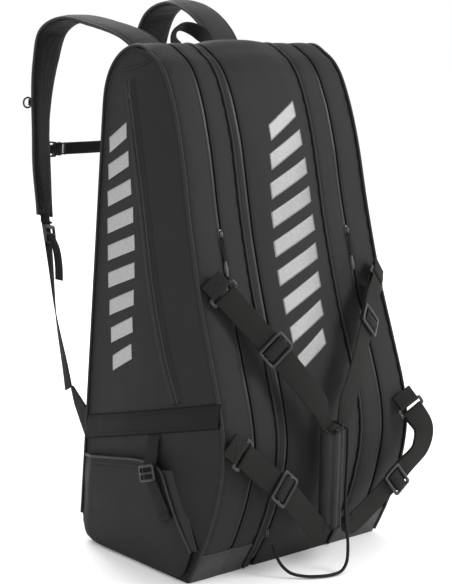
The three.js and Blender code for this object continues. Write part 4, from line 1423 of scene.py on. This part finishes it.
def shoulder_blend(piece, name, *nodes):
    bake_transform(piece)
    if nodes:
        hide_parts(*nodes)


def shoulder_pad(name, strap):
    steps = 150
    centres, ahead, sides, ups = route_frame(strap["route"], strap["widths"], steps)
    away = ups * math.copysign(1, ups[steps // 2] @ np.array([0, 1.0, 0]))     # the face that looks outwards
    t = np.linspace(0, 1, steps)
    narrow = 1 - 0.3 * smoothstep(0.8, 1, t)
    waist = 1 - 0.05 * bump(t - 0.55, 0.12)
    half = SHOULDER_WIDTH / 2 * narrow * waist
    flat = 1 - 0.55 * smoothstep(0.93, 1.0, t) - 0.35 * (1 - smoothstep(0, 0.06, t))
    section = []
    for a in np.linspace(0, math.tau, 28, endpoint=False):
        c, s = math.cos(a), math.sin(a)
        section.append((math.copysign(abs(c) ** 0.45, c) * 0.97, math.copysign(abs(s) ** 0.7, s) * 3.6))
    scale = np.stack([half, flat], -1)
    width_ups = np.cross(ahead, sides)
    core = swept(f"shoulder_core_{name}", centres - away * 1.4, sides, width_ups, section, SPACER, scale)
    inflate(core, 3.6, 2.0, 0.9)
    share = np.linspace(-1, 1, 21)[None, :]
    crown = (1 - np.abs(share) ** 3.2)
    lift = (1.2 + 4.6 * crown) * flat[:, None]
    spot = centres[:, None] + sides[:, None] * share[..., None] * 33
    lift = lift + 0.5 * cloth_noise(spot, 40, 14) * crown
    spread = sides[:, None] * (share * half[:, None])[..., None]
    grid = centres[:, None] + spread + away[:, None] * lift[..., None]
    uv = np.stack([share * half[:, None], np.broadcast_to((t * 640)[:, None], lift.shape)], -1)
    cover = cloth(f"shoulder_face_{name}", grid, 1.2, STRAP_FACE, uv)
    parts = [cover]
    for k, edge in enumerate((-1, 1)):
        line = centres + sides * (edge * (half - 0.4))[:, None] + away * 0.4
        parts.append(tube(f"shoulder_edge_{name}_{k}", line, 2.3, COATED, 10))
        column = 2 if edge < 0 else -3
        parts.append(stitches(f"shoulder_run_{name}_{k}", grid[4:-4, column], away[4:-4]))
    reach = slice(int(steps * 0.60), steps - 1)
    strip_line = centres[reach] + away[reach] * (6.9 * flat[reach])[:, None]
    strip_dirs = sides[reach]
    parts.append(ribbon(f"shoulder_web_{name}", strip_line, strip_dirs, flat_section(25, 1.6), WEBBING))
    for k, offset in enumerate((-10.5, 10.5)):
        line = strip_line + strip_dirs * offset + away[reach] * 0.9
        parts.append(stitches(f"shoulder_web_run_{name}_{k}", line, away[reach]))
    for k, place in enumerate((0.045, 0.085)):
        row = int(place * steps)
        line = grid[row, 2:-2]
        parts.append(stitches(f"shoulder_cross_{name}_{k}", line, away[row]))
    shoulder_blend(core, name, f"shoulder_pad_{name}")
    shoulder_blend(join(f"shoulder_cover_{name}", parts), name)
    shoulder_root(name, centres)
    return centres, away


def shoulder_root(name, centres):
    """The sewn root: the strap's face runs down on to the back of the crest."""
    x = centres[0, 0]
    route = [(x, BACK_Y + 1.5, 668), (x, BACK_Y + 3, 690), (x, BACK_Y + 8, 716), tuple(centres[0]),
             tuple(centres[6])]
    line = spline(route, 44)
    across = np.tile([1.0, 0, 0], (44, 1))
    travel = tangents(line)
    flat = np.linspace(0.35, 1.0, 44)
    section = [(math.copysign(abs(math.cos(a)) ** 0.45, math.cos(a)) * 30.5,
                math.copysign(abs(math.sin(a)) ** 0.7, math.sin(a)) * 4.4)
               for a in np.linspace(0, math.tau, 24, endpoint=False)]
    root = swept(f"root_body_{name}", line, across, np.cross(travel, across), section, STRAP_FACE,
                 np.stack([np.ones(44), flat], -1))
    ups = unit(np.cross(across, travel))
    parts = [root]
    for k, (row, spread) in enumerate(((3, 27), (7, 27), (13, 27))):
        out = ups[row] * math.copysign(1, ups[row][1])
        points = line[row] + across[0] * np.linspace(-spread, spread, 20)[:, None] + out * (4.4 * flat[row])
        parts.append(stitches(f"root_run_{name}_{k}", points, out))
    shoulder_blend(join(f"shoulder_root_{name}", parts), name)


def adjuster(name, strap, centres, away):
    """Webbing from the pad's ladder lock down to the tab, with a loose tail below the lock."""
    pad_end = np.array(strap["route"][-1], float)
    tab = np.array(strap["tab"], float)
    across = np.array(strap["widths"][-1], float)
    along = unit(tab - pad_end)
    start, end = pad_end + along * 9, tab - along * 2
    middle = (start + end) / 2 + [0, 4, -6]
    widths = [across, (0.2, math.copysign(1, across[1]), 0)]
    steps = 110
    line, line_ahead, line_sides, line_ups = route_frame([start, middle, end], widths, steps)
    t = np.linspace(0, 1, steps)
    line = line + line_ups * (0.9 * np.sin(t * 8) * np.sin(math.pi * t))[:, None]
    web = ribbon(f"adjuster_run_{name}", line, line_sides, flat_section(25, 1.7), WEBBING)
    body = f"strap_{name}"
    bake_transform(web)
    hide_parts(f"adjuster_web_{name}")
    front = line_ups * math.copysign(1, line_ups[8] @ np.array([0, -1.0, 0]))
    tail_top = line[9] + front[9] * 5
    tail = spline([tail_top, tail_top + along * 22 + front[9] * 7, tail_top + along * 50 + front[9] * 8,
                   tail_top + along * 76 + front[9] * 5], 40)
    tail_dirs = np.tile(line_sides[9], (40, 1))
    tail_dirs = squared(tail_dirs, tangents(tail))
    loose = ribbon(f"adjuster_tail_{name}", tail, tail_dirs, flat_section(25, 1.7), WEBBING)
    keep(loose, body)
    step = int(0.08 * steps)
    ladder_lock(f"strap_buckle_{name}", f"ladder_lock_{name}", f"lock_{name}", line_ahead[step],
                line_sides[step], front[step], 30, 34, 27, 4.0)
    loop_line = np.array([centres[-8] + away[-8] * 2.0, centres[-1], start, start + along * 4 + front[0] * 3])
    loop_line = spline(loop_line, 30)
    loop_dirs = np.tile(unit(across), (30, 1))
    loop_dirs = squared(loop_dirs, tangents(loop_line))
    loop = ribbon(f"lock_loop_{name}", loop_line, loop_dirs, flat_section(25, 2.4), WEBBING)
    keep(loop, body)


def lower_tab(name, side):
    """A folded triangle of cloth, sewn into the back edge, that the adjuster is caught in."""
    low, high = node_box(f"lower_tab_{name}")
    x = side * (abs(low[0]) + abs(high[0])) / 2
    outline = [(BACK_Y - 3, 148), (BACK_Y - 3, 202), (193, 237), (196, 232), (186, 208)]
    matrix = Matrix(((0, 0, side, x), (1, 0, 0, 0), (0, 1, 0, 0), (0, 0, 0, 1)))
    body = plate(f"tab_body_{name}", outline, [], 4.4, 1.2, POLYESTER, matrix)
    parts = [body]
    run = [(BACK_Y + 12, 164), (BACK_Y + 12, 196), (186, 226), (181, 212), (BACK_Y + 12, 164)]
    for k, face in enumerate((-1, 1)):
        line = resample(np.array([(x + face * 2.2, y, z) for y, z in run]), 80)
        parts.append(stitches(f"tab_run_{name}_{k}", line, np.tile([float(face), 0, 0], (80, 1))))
    keep(join(f"strap_tab_{name}", parts), "bag", f"lower_tab_{name}", slot="webbing")


for side, (name, strap) in zip((-1, 1), SHOULDER.items()):
    adjuster(name, strap, *shoulder_pad(name, strap))
    lower_tab(name, side)


# ---------------------------------------------------------------- chest strap
def chest_strap():
    low, high = node_box("chest_web")
    y, z = (low[1] + high[1]) / 2, (low[2] + high[2]) / 2
    x = np.linspace(low[0] - 3, high[0] + 4, 70)
    line = np.stack([x, y + 0.5 * np.sin(x / 22), z + 0 * x], -1)
    dirs = np.tile([0, 0, 1.0], (70, 1))
    web = ribbon("chest_webbing", line, dirs, flat_section(20, 1.7), WEBBING)
    keep(web, "chest_plug", "chest_web", slot="webbing")
    face = np.array([0, 1.0, 0])
    low, high = node_box("chest_socket")
    middle = (low + high) / 2
    outline = [(-11.5, -10), (-9, -12.5), (7, -12.5), (11, -9.5), (11, 9.5), (7, 12.5), (-9, 12.5),
               (-11.5, 10)]
    windows = [rounded_rectangle(11, 3.4, 1.2, (3.5, s * 9.0)) for s in (-1, 1)]
    place = placed(middle, (1, 0, 0), (0, 0, 1), -face)
    socket = plate("socket_shell", outline, windows, 8.6, 1.8, PLASTIC, place)
    keep(socket, "strap_left", "chest_socket", slot="plastic")
    low, high = node_box("chest_plug")
    middle = (low + high) / 2
    outline = [(-9.6, -10.5), (-2, -11.5), (3, -9.5), (9.6, -10.5), (9.6, 10.5), (3, 9.5), (-2, 11.5),
               (-9.6, 10.5)]
    window = rounded_rectangle(4.2, 15, 1.0, (5.0, 0))
    place = placed(middle, (1, 0, 0), (0, 0, 1), -face)
    plug = plate("plug_shell", outline, [window], 6.6, 1.6, PLASTIC, place)
    keep(plug, "chest_plug", "chest_plug", slot="plastic")
    for name, x, body in (("left", low[0] - 33, "strap_left"), ("right", 66.0, "strap_right")):
        share = np.array([-1, -0.6, 0.0, 0.6, 1])
        line = spline(np.stack([x + share * 12, y - 6 + 3.2 * (1 - share ** 2), z + 0 * share], -1), 20)
        dirs = np.tile([0, 0, 1.0], (20, 1))
        keep(ribbon(f"chest_stay_{name}", line, dirs, flat_section(30, 2.2), PLASTIC), body)


chest_strap()


# ---------------------------------------------------------------- grab handle
def grab_handle():
    y_foot = float(np.interp(750, SPINE[CREST_ROW:, 1][::-1], SPINE[CREST_ROW:, 0][::-1]))
    route = [(-30, y_foot + 3, 742), (-32, 150, 752), (-34, 157, 766), (-29, 172, 789), (0, 185, 802),
             (29, 172, 789), (34, 157, 766), (32, 150, 752), (30, y_foot + 3, 742)]
    widths = [(1, 0, 0), (1, 0, 0), (1, 0.15, 0), (0.6, 0.8, -0.5), (0, 0.8, -0.6), (-0.6, 0.8, -0.5),
              (-1, 0.15, 0), (-1, 0, 0), (-1, 0, 0)]
    line, _, sides, ups = route_frame(route, widths, 150)
    piece = swept("grab_webbing", line, sides, ups, flat_section(24, 2.8), WEBBING)
    parts = [piece]
    for k, row in enumerate((16, 22, 127, 133)):
        out = ups[row] * math.copysign(1, ups[row][1] + ups[row][2])
        points = line[row] + sides[row] * np.linspace(-9, 9, 10)[:, None] + out * 1.5
        parts.append(stitches(f"grab_run_{k}", points, out))
    piece = join("grab_loop", parts)
    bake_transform(piece)
    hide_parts("grab_handle")


grab_handle()


# ---------------------------------------------------------------- sliders and pulls
def slider_piece(name, place, along, out):
    """A zip slider: two rounded wings, a bridge over them and a nose at the closed end."""
    across = np.cross(along, out)
    outline = [(-8, -3.4), (-5, -4.6), (2, -4.6), (8, -2.6), (8, 2.6), (2, 4.6), (-5, 4.6), (-8, 3.4)]
    seat = placed(place + out * 2.0, along, across, out)
    wings = plate(f"slider_wings_{name}", outline, [], 2.4, 0.7, PLASTIC, seat)
    arch = np.linspace(0, math.pi, 14)
    line = place - along * 5.0 * np.cos(arch)[:, None] + out * (3.0 + 3.4 * np.sin(arch) ** 0.7)[:, None]
    dirs = np.tile(across, (14, 1))
    bridge = ribbon(f"slider_bridge_{name}", line, dirs, flat_section(3.4, 1.3), PLASTIC)
    return join(f"zip_slider_{name}", [wings, bridge])


def pull_piece(name, length, place, along, out, droop):
    """A doubled cord through the slider's bridge, ending in a moulded grip."""
    across = np.cross(along, out)
    base = place - along * 7 + out * 5.0
    parts = []
    for k, spread in enumerate((-1.7, 1.7)):
        down = np.linspace(0, 1, 20)
        line = (base - along * (down * (length - 24))[:, None] - out * (droop * np.sin(down * 1.5))[:, None]
                + across * (spread * (1 - 0.25 * down))[:, None])
        parts.append(tube(f"pull_cord_{name}_{k}", line, 1.35, CORD, 8))
    arch = np.linspace(0, math.pi, 10)
    loop = base + across * (-1.7 * np.cos(arch))[:, None] + along * (2.6 * np.sin(arch))[:, None]
    parts.append(tube(f"pull_loop_{name}", loop, 1.35, CORD, 8))
    down = np.linspace(0, 1, 22)
    tip = base - along * (length - 27 + down * 24)[:, None] - out * droop * math.sin(1.5)
    wide = 0.62 + 0.5 * np.sin(down * 2.6) ** 1.5
    wide[0], wide[-1] = 0.4, 0.3
    dirs = np.tile(across, (22, 1))
    parts.append(ribbon(f"pull_tip_{name}", tip, dirs, round_section(4.3, 2.3, 14), PLASTIC,
                      np.stack([wide, 0.75 + 0.3 * wide], -1)))
    for k, notch in enumerate((6, 9, 12)):
        line = tip[notch] + across * np.linspace(-3.4, 3.4, 8)[:, None] + out * 2.2
        parts.append(tube(f"pull_rib_{name}_{k}", line, 0.45, PLASTIC, 6, ends=0.2))
    return join(f"zip_pull_{name}", parts)


def spine_place(node):
    """Where a slider sits on the front of the spine, with the directions along and away from it."""
    low, high = node_box(node)
    middle = (low + high) / 2
    arc = ARC[int(np.argmin(np.hypot(SPINE[:CREST_ROW, 0] - middle[1], SPINE[:CREST_ROW, 1] - middle[2])))]
    up = spine_up(np.array([arc]))[0]
    along = np.array([0.0, -up[2], up[1]])
    along = along * math.copysign(1, along[2])
    on_line = np.array([middle[0], np.interp(arc, ARC, SPINE[:, 0]), np.interp(arc, ARC, SPINE[:, 1])])
    return on_line, along, up


def flat_along(vector):
    return np.array(vector) / np.linalg.norm(vector)


for name in ("left", "right"):
    place, along, out = spine_place(f"slider_{name}")
    keep(slider_piece(name, place, along, out), f"slider_{name}", f"slider_{name}", slot="plastic")
    keep(pull_piece(name, 60, place, along, out, 1.0), f"pull_{name}", f"pull_{name}", slot="cord")
place, along, out = spine_place("slider_centre")
keep(slider_piece("centre", place, along, out), "slider_centre", "slider_centre", slot="plastic")
low, high = node_box("slider_side")
place = (low + high) / 2 + [2.5, 0, 0]
along = flat_along((0, 20, 58))
out = np.array([-1.0, 0, 0])
keep(slider_piece("side", place, along, out), "slider_side", "slider_side", slot="plastic")
keep(pull_piece("side", 48, place, along, out, 1.0), "pull_side", "pull_side", slot="cord")


# ---------------------------------------------------------------- ring on the left pad
def pad_ring():
    low, high = node_box("pad_ring")
    middle = (low + high) / 2
    turn = np.linspace(0, math.tau, 48, endpoint=False)
    line = middle + np.stack([8 * np.cos(turn), 0 * turn, 8 * np.sin(turn)], -1)
    ahead = np.stack([-np.sin(turn), 0 * turn, np.cos(turn)], -1)
    sides = np.stack([np.cos(turn), 0 * turn, np.sin(turn)], -1)
    ring = swept("ring_wire", line, sides, np.cross(ahead, sides), round_section(1.5, 1.5, 12), PLASTIC,
                 wrap=True)
    keep(ring, "pad_ring", "pad_ring", slot="plastic")
    inner = spline([middle + [8, 0, 0], middle + [4.5, 3.2, 0], middle + [9, 4.5, 0], middle + [17, 2, 0],
                    middle + [20, 6, 0]], 24)
    dirs = np.tile([0, 0, 1.0], (24, 1))
    keep(ribbon("ring_loop", inner, dirs, flat_section(10, 1.4), WEBBING), "strap_left")


pad_ring()


# ---------------------------------------------------------------- last update of the view layer
def write_sizes():
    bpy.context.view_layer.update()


write_sizes()
